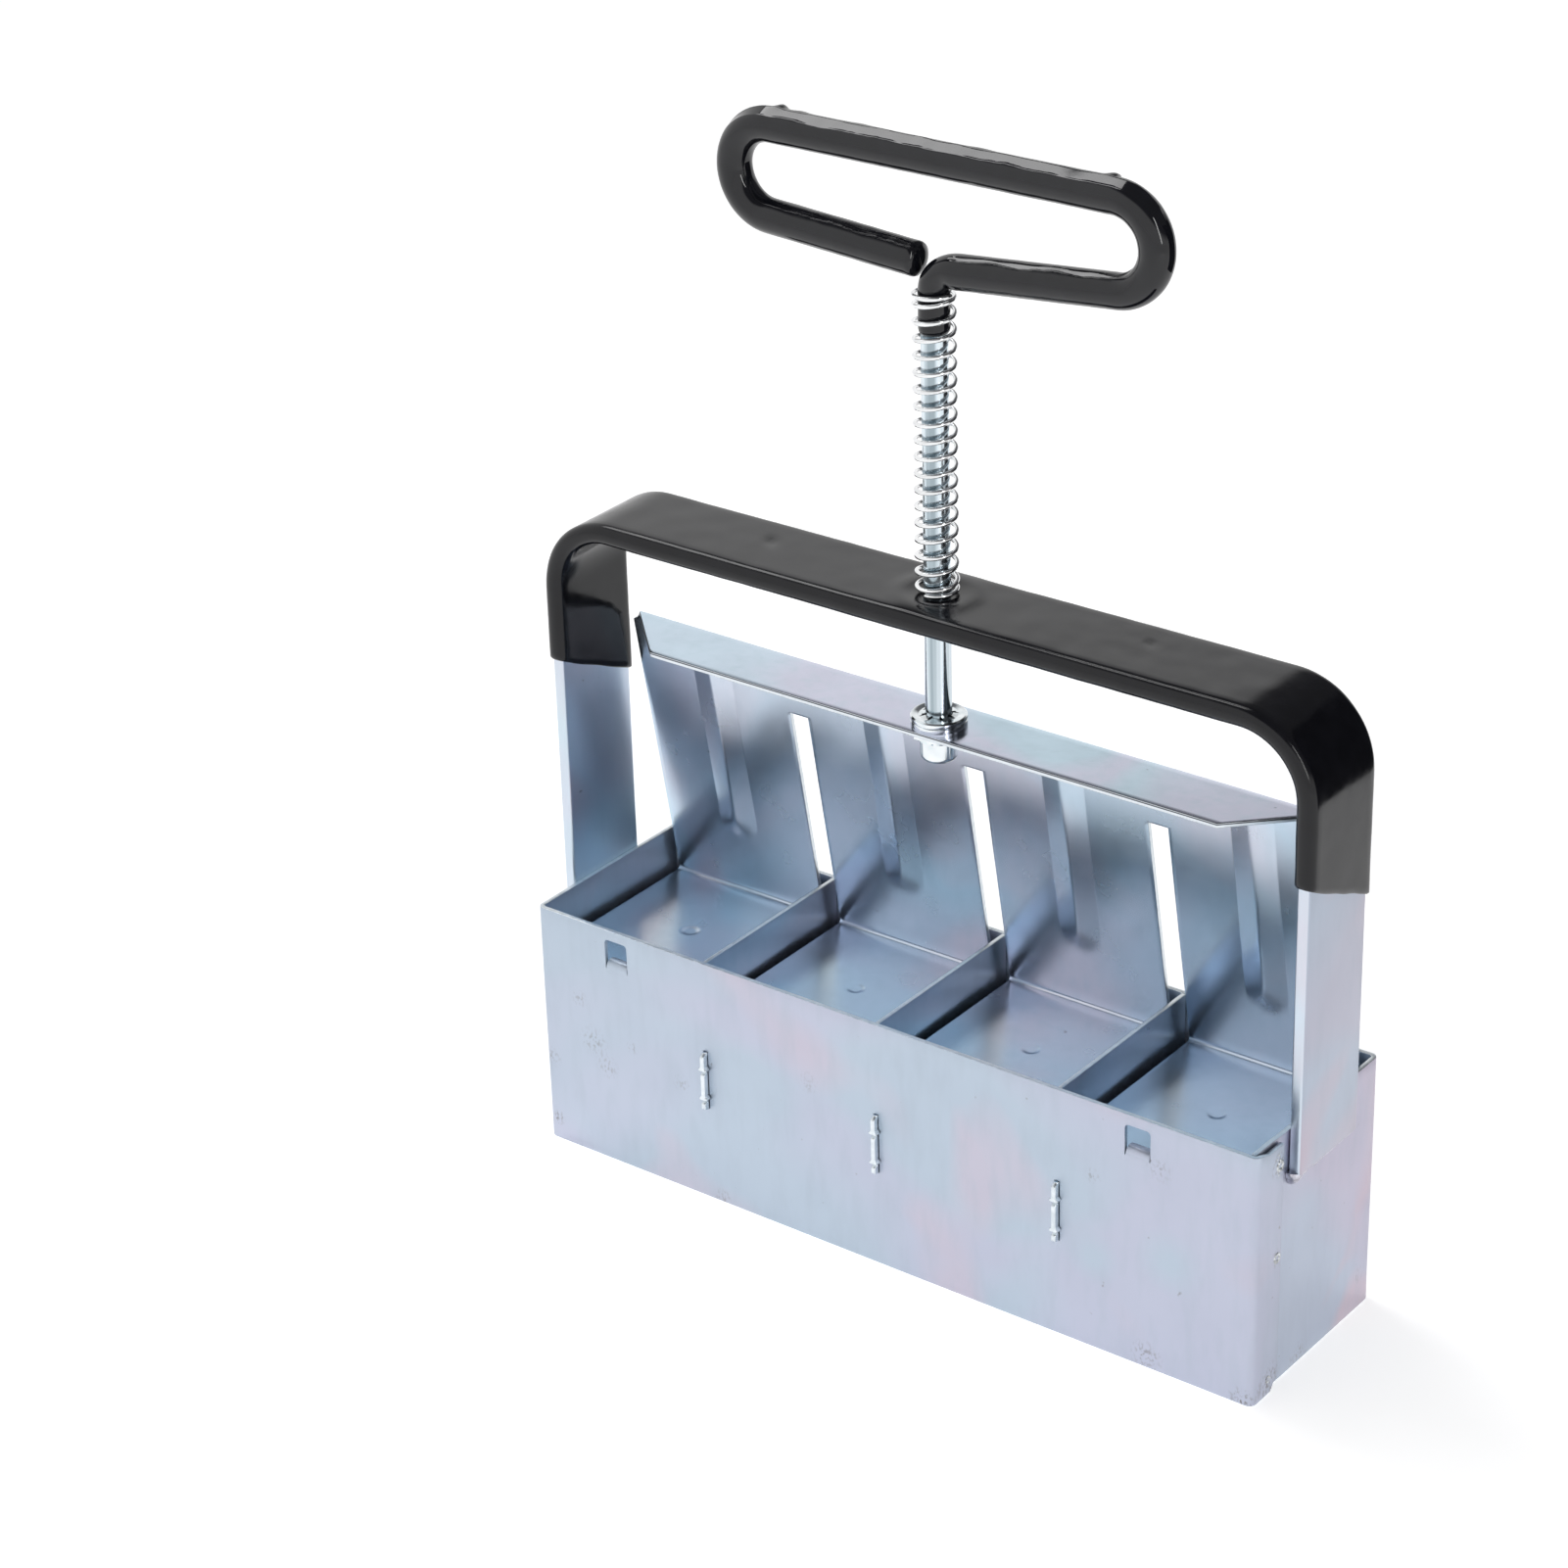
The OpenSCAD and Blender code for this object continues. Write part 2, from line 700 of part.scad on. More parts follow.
module cap_nut() {
    corner = nut_af / 2 / cos(30);
    cap_r = cap_d / 2;
    color(bright)
        difference() {
            union() {
                translate([0, 0, nut_under]) cylinder(h = nut_t, r = corner, $fn = 6);
                translate([0, 0, cap_under]) rotate_extrude() {
                    square([cap_r - cap_round, cap_h + eps]);
                    translate([0, cap_round]) square([cap_r, cap_h - cap_round + eps]);
                    translate([cap_r - cap_round, cap_round]) circle(r = cap_round);
                }
            }
            translate([0, 0, cap_under + cap_floor])
                cylinder(h = cap_h + nut_t, d = rod_d + 2 * eps);
        }
}

box_wall();
divider_left();
divider_middle();
divider_right();
lap_welds();
frame_strap();
strap_weld_left();
strap_weld_right();
frame_coating();
plunger_sheet();
push_rod();
handle_coating();
return_spring();
flat_washer();
toothed_ring();
cap_nut();
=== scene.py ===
# %% [markdown]
# # A soil blocker with four cells
# A soil blocker is pressed into damp soil, lifted, and its plunger then pushes out a row of
# square blocks for seedlings. This lesson dresses its measured frame in Blender: folded
# zinc-plated sheet, a bent bar with a dipped coating, a wire-like handle loop, a coil spring
# and a few fasteners. Every piece is made at its real size, in metres, in the frame's own place.

import bmesh
import bpy
import math
from mathutils import Matrix, Vector, noise


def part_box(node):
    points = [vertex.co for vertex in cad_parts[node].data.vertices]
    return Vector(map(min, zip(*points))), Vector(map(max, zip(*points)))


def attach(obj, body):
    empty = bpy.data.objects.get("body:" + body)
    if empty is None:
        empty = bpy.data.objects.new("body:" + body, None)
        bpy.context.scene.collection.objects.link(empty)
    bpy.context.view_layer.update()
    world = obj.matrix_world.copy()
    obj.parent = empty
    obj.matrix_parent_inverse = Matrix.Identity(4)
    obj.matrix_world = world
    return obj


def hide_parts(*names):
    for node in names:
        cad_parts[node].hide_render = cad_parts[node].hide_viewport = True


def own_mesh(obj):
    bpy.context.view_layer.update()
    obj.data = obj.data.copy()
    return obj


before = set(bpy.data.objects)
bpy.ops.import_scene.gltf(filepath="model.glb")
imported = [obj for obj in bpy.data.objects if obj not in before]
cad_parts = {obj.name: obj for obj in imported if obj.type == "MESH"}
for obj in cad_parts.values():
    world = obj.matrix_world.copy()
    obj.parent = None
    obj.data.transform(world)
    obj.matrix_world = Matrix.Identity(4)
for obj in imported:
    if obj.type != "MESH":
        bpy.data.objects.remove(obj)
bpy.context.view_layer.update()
mm = 0.001

# %% [markdown]
# ## Sizes
# The frame knows where each node lies, so most sizes are read from it. What it can't tell,
# such as the thickness of the sheet, is named here in millimetres as the maker would say it.

# %% Sizes from the frame
def span(node, axis):
    """Lowest and highest value of a node along x, y or z, in millimetres."""
    low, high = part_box(node)
    i = "xyz".index(axis)
    return low[i] / mm, high[i] / mm


sheet = 1.2                                   # thickness of the zinc-plated sheet
box_left = span("box_wall", "x")[0]           # outside of the left end wall
box_right = -box_left                         # outside of the right end wall
lap_face = span("box_wall", "x")[1]           # outside of the lap flange
box_front, box_back = span("box_wall", "y")
rim = span("box_wall", "z")[1]
divider_at = [sum(span(n, "x")) / 2 for n in ("divider_left", "divider_middle", "divider_right")]
pitch = divider_at[1] - divider_at[0]
panel_at = [(k - 1.5) * pitch for k in range(4)]
print("box", round(box_left, 2), round(lap_face, 2), "rim", round(rim, 2), "pitch", round(pitch, 2))

# %% [markdown]
# ## Finishes
# The metal is bright zinc with a thin blue passivation. On the real sheet the colour drifts
# between pale blue, grey and a faint lavender, the rolled surface scatters the light a little,
# and there are small specks. It could be painted on an image, but a procedural material follows
# the metal on every side. Slow noise picks the tint, finer noise varies the gloss, and a
# fine bump breaks up the reflections.

# %% Helpers for materials
def new_material(name):
    """An empty node material, its tree, and its main shader."""
    material = bpy.data.materials.new(name)
    material.use_nodes = True
    return material, material.node_tree, material.node_tree.nodes["Principled BSDF"]


def noise_field(tree, scale, detail, stretch=(1, 1, 1), offset=(0, 0, 0), swirl=0.0):
    """Noise that sits in the object's own space. The scale counts waves in a metre."""
    place = tree.nodes.new("ShaderNodeTexCoord")
    mapping = tree.nodes.new("ShaderNodeMapping")
    mapping.inputs["Scale"].default_value = stretch
    mapping.inputs["Location"].default_value = offset
    field = tree.nodes.new("ShaderNodeTexNoise")
    field.inputs["Scale"].default_value = scale
    field.inputs["Detail"].default_value = detail
    field.inputs["Distortion"].default_value = swirl
    tree.links.new(place.outputs["Object"], mapping.inputs["Vector"])
    tree.links.new(mapping.outputs["Vector"], field.inputs["Vector"])
    return field.outputs["Fac"]


def ramp(tree, source, stops):
    """A colour ramp over a field, from (position, colour) stops."""
    node = tree.nodes.new("ShaderNodeValToRGB")
    points = node.color_ramp.elements
    while len(points) < len(stops):
        points.new(0.5)
    for point, (position, colour) in zip(points, stops):
        point.position = position
        point.color = (*colour, 1)
    tree.links.new(source, node.inputs["Fac"])
    return node.outputs["Color"]


def levels(tree, source, low, high, start=0.35, end=0.65):
    """Turns a field between start and end into numbers between low and high."""
    node = tree.nodes.new("ShaderNodeMapRange")
    for key, value in (("From Min", start), ("From Max", end), ("To Min", low), ("To Max", high)):
        node.inputs[key].default_value = value
    tree.links.new(source, node.inputs["Value"])
    return node.outputs["Result"]


def overlay(tree, base, top, share):
    """One colour mixed over another by a field from 0 to 1."""
    node = tree.nodes.new("ShaderNodeMix")
    node.data_type = "RGBA"
    tree.links.new(share, node.inputs["Factor"])
    tree.links.new(base, node.inputs["A"])
    if isinstance(top, tuple):
        node.inputs["B"].default_value = (*top, 1)
    else:
        tree.links.new(top, node.inputs["B"])
    return node.outputs["Result"]


def bump(tree, shader, source, strength, height):
    """Lets a field raise and lower the surface by up to a height in metres."""
    node = tree.nodes.new("ShaderNodeBump")
    node.inputs["Strength"].default_value = strength
    node.inputs["Distance"].default_value = height
    tree.links.new(source, node.inputs["Height"])
    tree.links.new(node.outputs["Normal"], shader.inputs["Normal"])


print("material helpers ready")

# %% [markdown]
# Each zinc-plated part has the same finish in its own tones. Blue drifts to lavender with slow
# noise, rose patches and a fine grain lie over it, and small marks are listed where the sheet
# was rubbed. One set of tones for all parts would be simpler, but each part and some faces
# mirror another side of the room, so the tones are painted light and shade: lighter and darker copies of the
# finish, matched part by part and face by face.

# %% Zinc plate
def spot_mask(tree, place, reach):
    """A field that is 1 at a place in millimetres and fades to 0 at a distance."""
    here = tree.nodes.new("ShaderNodeTexCoord")
    away = tree.nodes.new("ShaderNodeVectorMath")
    away.operation = "DISTANCE"
    away.inputs[1].default_value = Vector(place) * mm
    tree.links.new(here.outputs["Object"], away.inputs[0])
    return levels(tree, away.outputs["Value"], 1, 0, 0, reach * mm)


def product(tree, one, other):
    """One field times another."""
    node = tree.nodes.new("ShaderNodeMath")
    node.operation = "MULTIPLY"
    tree.links.new(one, node.inputs[0])
    if isinstance(other, float):
        node.inputs[1].default_value = other
    else:
        tree.links.new(other, node.inputs[1])
    return node.outputs["Value"]


def zinc_plate(name, tones, gloss, seed, scuffs=(), pale=()):
    """Blue-white zinc on sheet or bar. tones are blue, lavender, rose and scuff."""
    material, tree, shader = new_material(name)
    blue, lavender, rose, scuff = tones
    shift = (seed * 0.37, seed * 0.11, seed * 0.53)
    drift = noise_field(tree, 13, 1.5, (1, 1, 1.4), shift, 0.5)
    tint = ramp(tree, drift, [(0.42, blue), (0.55, lavender)])
    patches = noise_field(tree, 19, 1.5, (1, 1, 1), (seed, 2, 5), 0.8)
    tint = overlay(tree, tint, rose, levels(tree, patches, 0, 0.85, 0.52, 0.64))
    for place, reach in pale:
        tint = overlay(tree, tint, blue, product(tree, spot_mask(tree, place, reach), 1.3))
    grain = noise_field(tree, 300, 3, (1, 1, 0.25), shift)
    shade = tuple(0.86 * c for c in blue)
    tint = overlay(tree, tint, shade, levels(tree, grain, 0, 0.3, 0.45, 0.75))
    specks = levels(tree, noise_field(tree, 330, 2, (1, 1, 1), shift), 0, 0.55, 0.745, 0.8)
    tint = overlay(tree, tint, scuff, specks)
    rough_spots = levels(tree, noise_field(tree, 1300, 4, (1, 1, 0.6)), 0, 1, 0.5, 0.62)
    for place, reach, strength in scuffs:
        rubbed = product(tree, product(tree, spot_mask(tree, place, reach), rough_spots), strength)
        tint = overlay(tree, tint, scuff, rubbed)
    tree.links.new(tint, shader.inputs["Base Color"])
    shader.inputs["Metallic"].default_value = 1
    cloud = noise_field(tree, 70, 4, (1, 1, 1), shift)
    tree.links.new(levels(tree, cloud, gloss[0], gloss[1], 0.2, 0.8), shader.inputs["Roughness"])
    bump(tree, shader, noise_field(tree, 1400, 3, (1, 1, 0.4), shift), 0.1, 0.00002)
    return material


# Tone sets: the box front's are the base, and the others are lighter or darker copies of it, painted light
# and shade for parts and faces that mirror other sides of the room.
zinc_tones = ((0.485, 0.56, 0.65), (0.52, 0.545, 0.655), (0.565, 0.53, 0.62), (0.2, 0.18, 0.17))
end_wall_shaded_tones = ((0.48, 0.53, 0.63), (0.53, 0.505, 0.61), (0.59, 0.495, 0.57), (0.2, 0.18, 0.17))
inner_lightened_tones = ((0.56, 0.69, 0.80), (0.59, 0.67, 0.78), (0.65, 0.65, 0.74), (0.28, 0.28, 0.30))
flange_top_lit_tones = ((0.58, 0.73, 0.83), (0.61, 0.71, 0.82), (0.66, 0.66, 0.79), (0.3, 0.32, 0.34))
bar_lightened_tones = ((0.56, 0.70, 0.80), (0.58, 0.65, 0.76), (0.64, 0.61, 0.70), (0.24, 0.22, 0.22))
leg_outer_shaded_tones = ((0.44, 0.49, 0.58), (0.46, 0.465, 0.55), (0.52, 0.45, 0.52), (0.24, 0.22, 0.22))
bar_side_lit_tones = ((0.60, 0.74, 0.80), (0.62, 0.70, 0.79), (0.66, 0.66, 0.74), (0.3, 0.3, 0.3))
# Scuffs on the front wall are (x, z, reach, strength), and on the right end wall (y, z, reach, strength).
front_scuffs = [
    (-101.7, 6.1, 2.6, 1.0), (-102.5, 24, 3.5, 0.5), (-75.7, 35.1, 2.0, 0.5), (-88, 33, 5.0, 0.5),
    (-84, 27, 4.0, 0.5), (-92, 44, 3.0, 0.4), (-60, 30, 3.0, 0.4), (-20, 44, 3.5, 0.3),
    (77.1, 2.9, 5.0, 0.7), (80, 55, 4.0, 0.4), (62, 47, 2.5, 0.5), (103, 1.0, 4.0, 1.0),
    (-48, 1.0, 3.0, 0.6),
]
end_scuffs = [
    (-18.5, 61, 4.0, 1.0), (-18.4, 36, 3.0, 0.6), (-20, 2.0, 7.0, 0.9), (-5, 1.0, 5.0, 0.7),
    (19, 52, 1.6, 1.0), (22, 9, 3.0, 0.5),
]
box_scuffs = [((x, box_front, z), reach, strength) for x, z, reach, strength in front_scuffs]
box_scuffs += [((lap_face, y, z), reach, strength) for y, z, reach, strength in end_scuffs]
box_pale = [((62, box_front, 25), 8.0), ((83, box_front, 31), 9.5), ((lap_face, -4, 40), 9.0)]
box_zinc = zinc_plate("box_zinc", zinc_tones, (0.38, 0.5), 1, box_scuffs, box_pale)
# Copies of the zinc in other tones, painted light and shade for the end wall, the plunger, the flange top,
# the dividers and the bar's faces.
end_wall_shaded_zinc = zinc_plate("end_wall_shaded_zinc", end_wall_shaded_tones, (0.36, 0.46), 6, box_scuffs, box_pale)
plunger_zinc = zinc_plate("plunger_zinc", inner_lightened_tones, (0.2, 0.3), 2)
flange_top_lit_zinc = zinc_plate("flange_top_lit_zinc", flange_top_lit_tones, (0.17, 0.25), 7)
divider_zinc = zinc_plate("divider_zinc", inner_lightened_tones, (0.26, 0.36), 3)
bar_zinc = zinc_plate("bar_zinc", bar_lightened_tones, (0.28, 0.38), 4)
leg_outer_shaded_zinc = zinc_plate("leg_outer_shaded_zinc", leg_outer_shaded_tones, (0.28, 0.38), 4)
bar_side_lit_zinc = zinc_plate("bar_side_lit_zinc", bar_side_lit_tones, (0.28, 0.38), 5)
zincs = (box_zinc, end_wall_shaded_zinc, plunger_zinc, flange_top_lit_zinc, divider_zinc, bar_zinc, leg_outer_shaded_zinc, bar_side_lit_zinc)
print("zinc finishes:", [m.name for m in zincs])


# %% [markdown]
# The push rod is drawn bar: it was pulled through a die, which left fine streaks along it.
# Anisotropic shading could stand for them, but it gives one even sheen. Noise that is stretched
# along the rod shows single streaks, and on a thin rod these are what is seen. Their dark and
# light tones are also painted reflection: they stand for the bright and dark bands the rod mirrors.

# %% Drawn rod
def drawn_zinc(name, dark, light, gloss):
    """Zinc on drawn bar: fine lines from the die along its length, with dark and light tones that are also
    painted reflection bands.
    """
    material, tree, shader = new_material(name)
    streaks_and_painted_bands = noise_field(tree, 420, 2, (1, 1, 0.012), (3, 1, 4))
    tree.links.new(ramp(tree, streaks_and_painted_bands, [(0.38, dark), (0.58, light)]), shader.inputs["Base Color"])
    tree.links.new(levels(tree, streaks_and_painted_bands, gloss[0], gloss[1]), shader.inputs["Roughness"])
    shader.inputs["Metallic"].default_value = 1
    bump(tree, shader, streaks_and_painted_bands, 0.15, 0.00004)
    return material


# The rod's dark and light tones are fine die lines and painted reflection bands at once.
rod_zinc = drawn_zinc("rod_zinc", (0.34, 0.41, 0.45), (0.72, 0.80, 0.85), (0.08, 0.18))
print("rod finish:", rod_zinc.name)

# %% [markdown]
# Cut edges, welds, wire and fasteners are small, so a plain metal between two tones is enough
# for each. Only the flange's cut edge gets more: a painted dark line of shade just under its top
# face. It could be a modelled groove, but a tone that follows the height is lighter and as clear.

# %% Cut edges, welds and bright fasteners
def plain_metal(name, low, high, gloss, grain, seed):
    """Bare-looking metal between two tones, with a fine grain."""
    material, tree, shader = new_material(name)
    field = noise_field(tree, grain, 4, (1, 1, 1), (seed, seed * 2, seed * 3))
    tree.links.new(ramp(tree, field, [(0.35, low), (0.65, high)]), shader.inputs["Base Color"])
    tree.links.new(levels(tree, field, gloss[0], gloss[1]), shader.inputs["Roughness"])
    shader.inputs["Metallic"].default_value = 1
    bump(tree, shader, noise_field(tree, grain * 3, 3), 0.12, 0.00003)
    return material


def painted_shade_edge(name, line_low, line_high):
    """The flange's cut edge, with a painted dark line of shade just under the top face."""
    material, tree, shader = new_material(name)
    place = tree.nodes.new("ShaderNodeTexCoord")
    parts = tree.nodes.new("ShaderNodeSeparateXYZ")
    tree.links.new(place.outputs["Object"], parts.inputs["Vector"])
    height = levels(tree, parts.outputs["Z"], 0, 1, line_low * mm, line_high * mm)
    light, dark = (0.74, 0.79, 0.83), (0.1, 0.11, 0.13)
    tone = ramp(tree, height, [(0.0, light), (0.2, dark), (0.75, dark), (1.0, light)])
    tree.links.new(tone, shader.inputs["Base Color"])
    wear = noise_field(tree, 600, 3)
    tree.links.new(levels(tree, wear, 0.28, 0.45), shader.inputs["Roughness"])
    shader.inputs["Metallic"].default_value = 1
    return material


cut_edge = plain_metal("cut_edge", (0.66, 0.72, 0.76), (0.82, 0.87, 0.9), (0.3, 0.42), 500, 6)
weld_metal = plain_metal("weld_metal", (0.42, 0.41, 0.46), (0.76, 0.76, 0.84), (0.2, 0.4), 650, 7)
spot_metal = plain_metal("spot_metal", (0.16, 0.16, 0.16), (0.8, 0.84, 0.86), (0.2, 0.4), 900, 10)
spring_wire = plain_metal("spring_wire", (0.8, 0.81, 0.82), (0.94, 0.95, 0.96), (0.12, 0.2), 300, 8)
fastener_metal = plain_metal("fastener_metal", (0.7, 0.76, 0.79), (0.88, 0.92, 0.94), (0.1, 0.22), 400, 9)
print("metals ready")

# %% [markdown]
# ## The dipped coating
# The bar and the handle were dipped in liquid vinyl, which set to a dark, glossy skin. It is
# almost black, and what the eye sees is mostly its reflections. Low roughness gives the wet
# look. A clear coat on top would do it too, but the vinyl is one layer all through. A shallow
# bump stands for unevenness too small to model, and the larger lumps are modelled further down.

# %% Vinyl
def dipped_vinyl(name, tone, gloss, wave, depth, ior, seed):
    """Dark vinyl with a wet gloss and a gentle unevenness."""
    material, tree, shader = new_material(name)
    field = noise_field(tree, 240, 3, (1, 1, 1), (seed, 1, 2))
    darker = tuple(0.75 * c for c in tone)
    tree.links.new(ramp(tree, field, [(0.4, darker), (0.62, tone)]), shader.inputs["Base Color"])
    tree.links.new(levels(tree, field, gloss[0], gloss[1]), shader.inputs["Roughness"])
    shader.inputs["IOR"].default_value = ior
    bump(tree, shader, noise_field(tree, wave, 2, (1, 1, 1), (seed, 3, 4)), 0.3, depth)
    return material


handle_vinyl = dipped_vinyl("handle_vinyl", (0.0075, 0.008, 0.0115), (0.04, 0.09), 170, 0.00004, 1.5, 1)
bar_vinyl = dipped_vinyl("bar_vinyl", (0.006, 0.0062, 0.009), (0.12, 0.19), 130, 0.00005, 1.41, 2)
print("vinyl ready")

# %% [markdown]
# ## Mesh helpers
# Folded sheet, bent bar and wire are all the same idea: a short cross-section carried along a
# path. One helper joins a list of rings into a skin, another gives a flat sheet its thickness
# and cuts, and a third hands the finished piece to its body in the frame.

# %% Helpers for meshes
def settle(piece, body, slot, node=None, sharp=40):
    """Smooths a piece up to an edge angle and puts it on its body."""
    piece.data.shade_smooth()
    piece.data.set_sharp_from_angle(angle=math.radians(sharp))
    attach(piece, body)
    if node:
        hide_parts(node)
    return piece


def skin(rings, close=False, first=0):
    """Faces that join rings of equal count, each to the next, and the last to the first if closed."""
    count = len(rings[0])
    faces = []
    pairs = len(rings) if close else len(rings) - 1
    for i in range(pairs):
        a, b = first + i * count, first + (i + 1) % len(rings) * count
        for k in range(count):
            n = (k + 1) % count
            faces.append((a + k, a + n, b + n, b + k))
    return faces


def flat(rings):
    """All the points of a list of rings, one after another."""
    return [p for ring in rings for p in ring]


def tube(rings):
    """Points and faces of a solid with a flat cap on its first and last ring."""
    count = len(rings[0])
    faces = skin(rings)
    faces.append(tuple(range(count - 1, -1, -1)))
    faces.append(tuple(range((len(rings) - 1) * count, len(rings) * count)))
    return flat(rings), faces


def bake_modifiers(piece):
    """Turns a piece and its modifiers into a plain mesh."""
    bpy.context.view_layer.update()
    seen = piece.evaluated_get(bpy.context.evaluated_depsgraph_get())
    mesh = bpy.data.meshes.new_from_object(seen)
    piece.modifiers.clear()
    piece.data = mesh
    return piece


def cut_away(piece, cutters):
    """Cuts solids out of a piece and removes them."""
    for cutter in cutters:
        step = piece.modifiers.new("cut", "BOOLEAN")
        step.operation = "DIFFERENCE"
        step.solver = "EXACT"
        step.object = cutter
    bake_modifiers(piece)
    for cutter in cutters:
        bpy.data.objects.remove(cutter)
    return piece


def join_on(piece, parts):
    """Merges solids into a piece, so that they share one skin."""
    for part in parts:
        step = piece.modifiers.new("join", "BOOLEAN")
        step.operation = "UNION"
        step.solver = "EXACT"
        step.object = part
    bake_modifiers(piece)
    for part in parts:
        bpy.data.objects.remove(part)
    return piece


def round_edges(piece, width, angle=50, segments=2):
    """Softens the piece's sharp edges by a width in millimetres."""
    step = piece.modifiers.new("round", "BEVEL")
    step.width = width * mm
    step.segments = segments
    step.limit_method = "ANGLE"
    step.angle_limit = math.radians(angle)
    step.use_clamp_overlap = True
    return bake_modifiers(piece)


def loose_solid(name, points, faces, material):
    """A plain solid with no body yet, for cutting or joining."""
    mesh = bpy.data.meshes.new(name)
    mesh.from_pydata([Vector(p) * mm for p in points], [], faces)
    mesh.materials.append(material)
    solid = bpy.data.objects.new(name, mesh)
    bpy.context.scene.collection.objects.link(solid)
    return solid


def slab(name, outline, low, high, axis, material):
    """A solid from an outline of (across, up) points, carried from low to high along x or y."""
    def place(p, d):
        return (d, p[0], p[1]) if axis == "x" else (p[0], d, p[1])

    rings = [[place(p, low) for p in outline], [place(p, high) for p in outline]]
    points, faces = tube(rings)
    solid = loose_solid(name, points, faces, material)
    tidy_normals(solid)
    return solid


def tidy_normals(piece):
    """Points every face outward."""
    shape = bmesh.new()
    shape.from_mesh(piece.data)
    bmesh.ops.recalc_face_normals(shape, faces=shape.faces)
    shape.to_mesh(piece.data)
    shape.free()
    return piece


def smooth(x, low, high):
    """Rises softly from 0 at low to 1 at high."""
    t = min(1, max(0, (x - low) / (high - low)))
    return t * t * (3 - 2 * t)


print("mesh helpers ready")

# %% [markdown]
# ## A bender's list
# The box strip, the bar and the rod were all made on a bending machine, which feeds a length
# and then turns by an angle. The same list makes the path here: each move is a feed or a bend,
# and the helper walks along it and notes the point and the heading at every small step.

# %% Paths from feeds and bends
def walk(start, heading, moves, step=2.0, turn_step=8):
    """Points along a flat path as (a, b, heading in degrees, distance walked)."""
    a, b = start
    walked = 0.0
    path = [(a, b, heading, walked)]
    for kind, size, radius in moves:
        if kind == "feed":
            count = max(1, round(size / step))
            for _ in range(count):
                a += size / count * math.cos(math.radians(heading))
                b += size / count * math.sin(math.radians(heading))
                walked += size / count
                path.append((a, b, heading, walked))
        else:
            side = 1 if size > 0 else -1
            count = max(2, round(abs(size) / turn_step))
            out = math.radians(heading + 90 * side)
            ca, cb = a + radius * math.cos(out), b + radius * math.sin(out)
            for k in range(1, count + 1):
                turned = size * k / count
                back = out + math.pi + math.radians(turned)
                a, b = ca + radius * math.cos(back), cb + radius * math.sin(back)
                path.append((a, b, heading + turned, walked + math.radians(abs(turned)) * radius))
            heading += size
            walked = path[-1][3]
    return path


def feed(length):
    return ("feed", length, 0)


def bend(angle, radius):
    """A bend to the left, or to the right if the angle is negative."""
    return ("bend", angle, radius)


print("path helper ready")

# %% [markdown]
# ## Box wall
# One strip of sheet is folded round the cells. It starts at the lap flange on the right end,
# runs along the front, round the left end and along the back, and stops at the right end wall's
# free edge. It could be a hollow box cut from a block, but following the strip gives true round
# folds, a real lap with a dark gap, and sheet that is never quite flat: a slow wave of a tenth
# of a millimetre lets the reflections wander as they do on real sheet.

# %% Walk the strip
corner = 2.0 - sheet / 2                      # radius of the folds at the middle of the sheet
lap_width = 11.0
lap_drop = 1.0
lap_round = 4.0
lap_spring = 0.3                              # the free edge springs in behind the lap flange
edge_gap = 0.2
mid = sheet / 2
lap_free = box_front + lap_width
front_line = box_front + mid
strip_moves = [
    feed(lap_free - (front_line + corner)),
    bend(-90, corner),
    feed((lap_face - mid - corner) - (box_left + mid + corner)),
    bend(-90, corner),
    feed(box_back - mid - corner - (front_line + corner)),
    bend(-90, corner),
    feed((box_right - mid - corner) - (box_left + mid + corner)),
    bend(-90, corner),
    feed(box_back - mid - corner - (box_front + sheet + edge_gap)),
]
strip = walk((lap_face - mid, lap_free), -90, strip_moves, step=3.4, turn_step=15)
print("strip points:", len(strip), "length", round(strip[-1][3], 1), "mm")


# %% Raise the walls
def wall_wave(x, y, z):
    """How far the sheet stands off its true plane, in millimetres."""
    spot = Vector((x * 0.016, y * 0.016, z * 0.022))
    return 0.16 * noise.noise(spot + Vector((3, 8, 1)))


def wall_point(a, b, heading, walked, share):
    """A point of the strip at a share of its height, with the lap flange's own ends."""
    low, high = 0.0, rim
    if walked < lap_width - 2.5:
        high -= lap_drop * min(1, (lap_width - 2.5 - walked) / 2)
        inward = max(0.0, lap_round - walked)
        low += lap_round - math.sqrt(max(0.0, lap_round ** 2 - inward ** 2))
    z = low + (high - low) * share
    out = math.radians(heading + 90)
    ends = min(1, walked / 8, (strip[-1][3] - walked) / 8)
    off = wall_wave(a, b, z) * max(0, ends) * min(1, 6 * share * (1 - share) + 0.35)
    off -= lap_spring * smooth(walked, strip[-1][3] - 12, strip[-1][3] - 7)
    return (a + off * math.cos(out), b + off * math.sin(out), z)


wall_rows = 20
wall_points = [wall_point(*p, row / wall_rows) for p in strip for row in range(wall_rows + 1)]
wall_faces = []
for i in range(len(strip) - 1):
    for row in range(wall_rows):
        k = i * (wall_rows + 1) + row
        wall_faces.append((k, k + 1, k + wall_rows + 2, k + wall_rows + 1))
box_wall = loose_solid("box_wall_sheet", wall_points, wall_faces, box_zinc)
box_wall.data.materials.append(cut_edge)


def thicken(piece, thickness):
    """Gives a sheet its thickness, half to each side, with the cut edges in the second finish."""
    step = piece.modifiers.new("thickness", "SOLIDIFY")
    step.thickness = thickness * mm
    step.offset = 0
    step.use_even_offset = True
    step.material_offset_rim = 1
    bake_modifiers(piece)
    return tidy_normals(piece)


thicken(box_wall, sheet)
print("box wall faces:", len(box_wall.data.polygons))

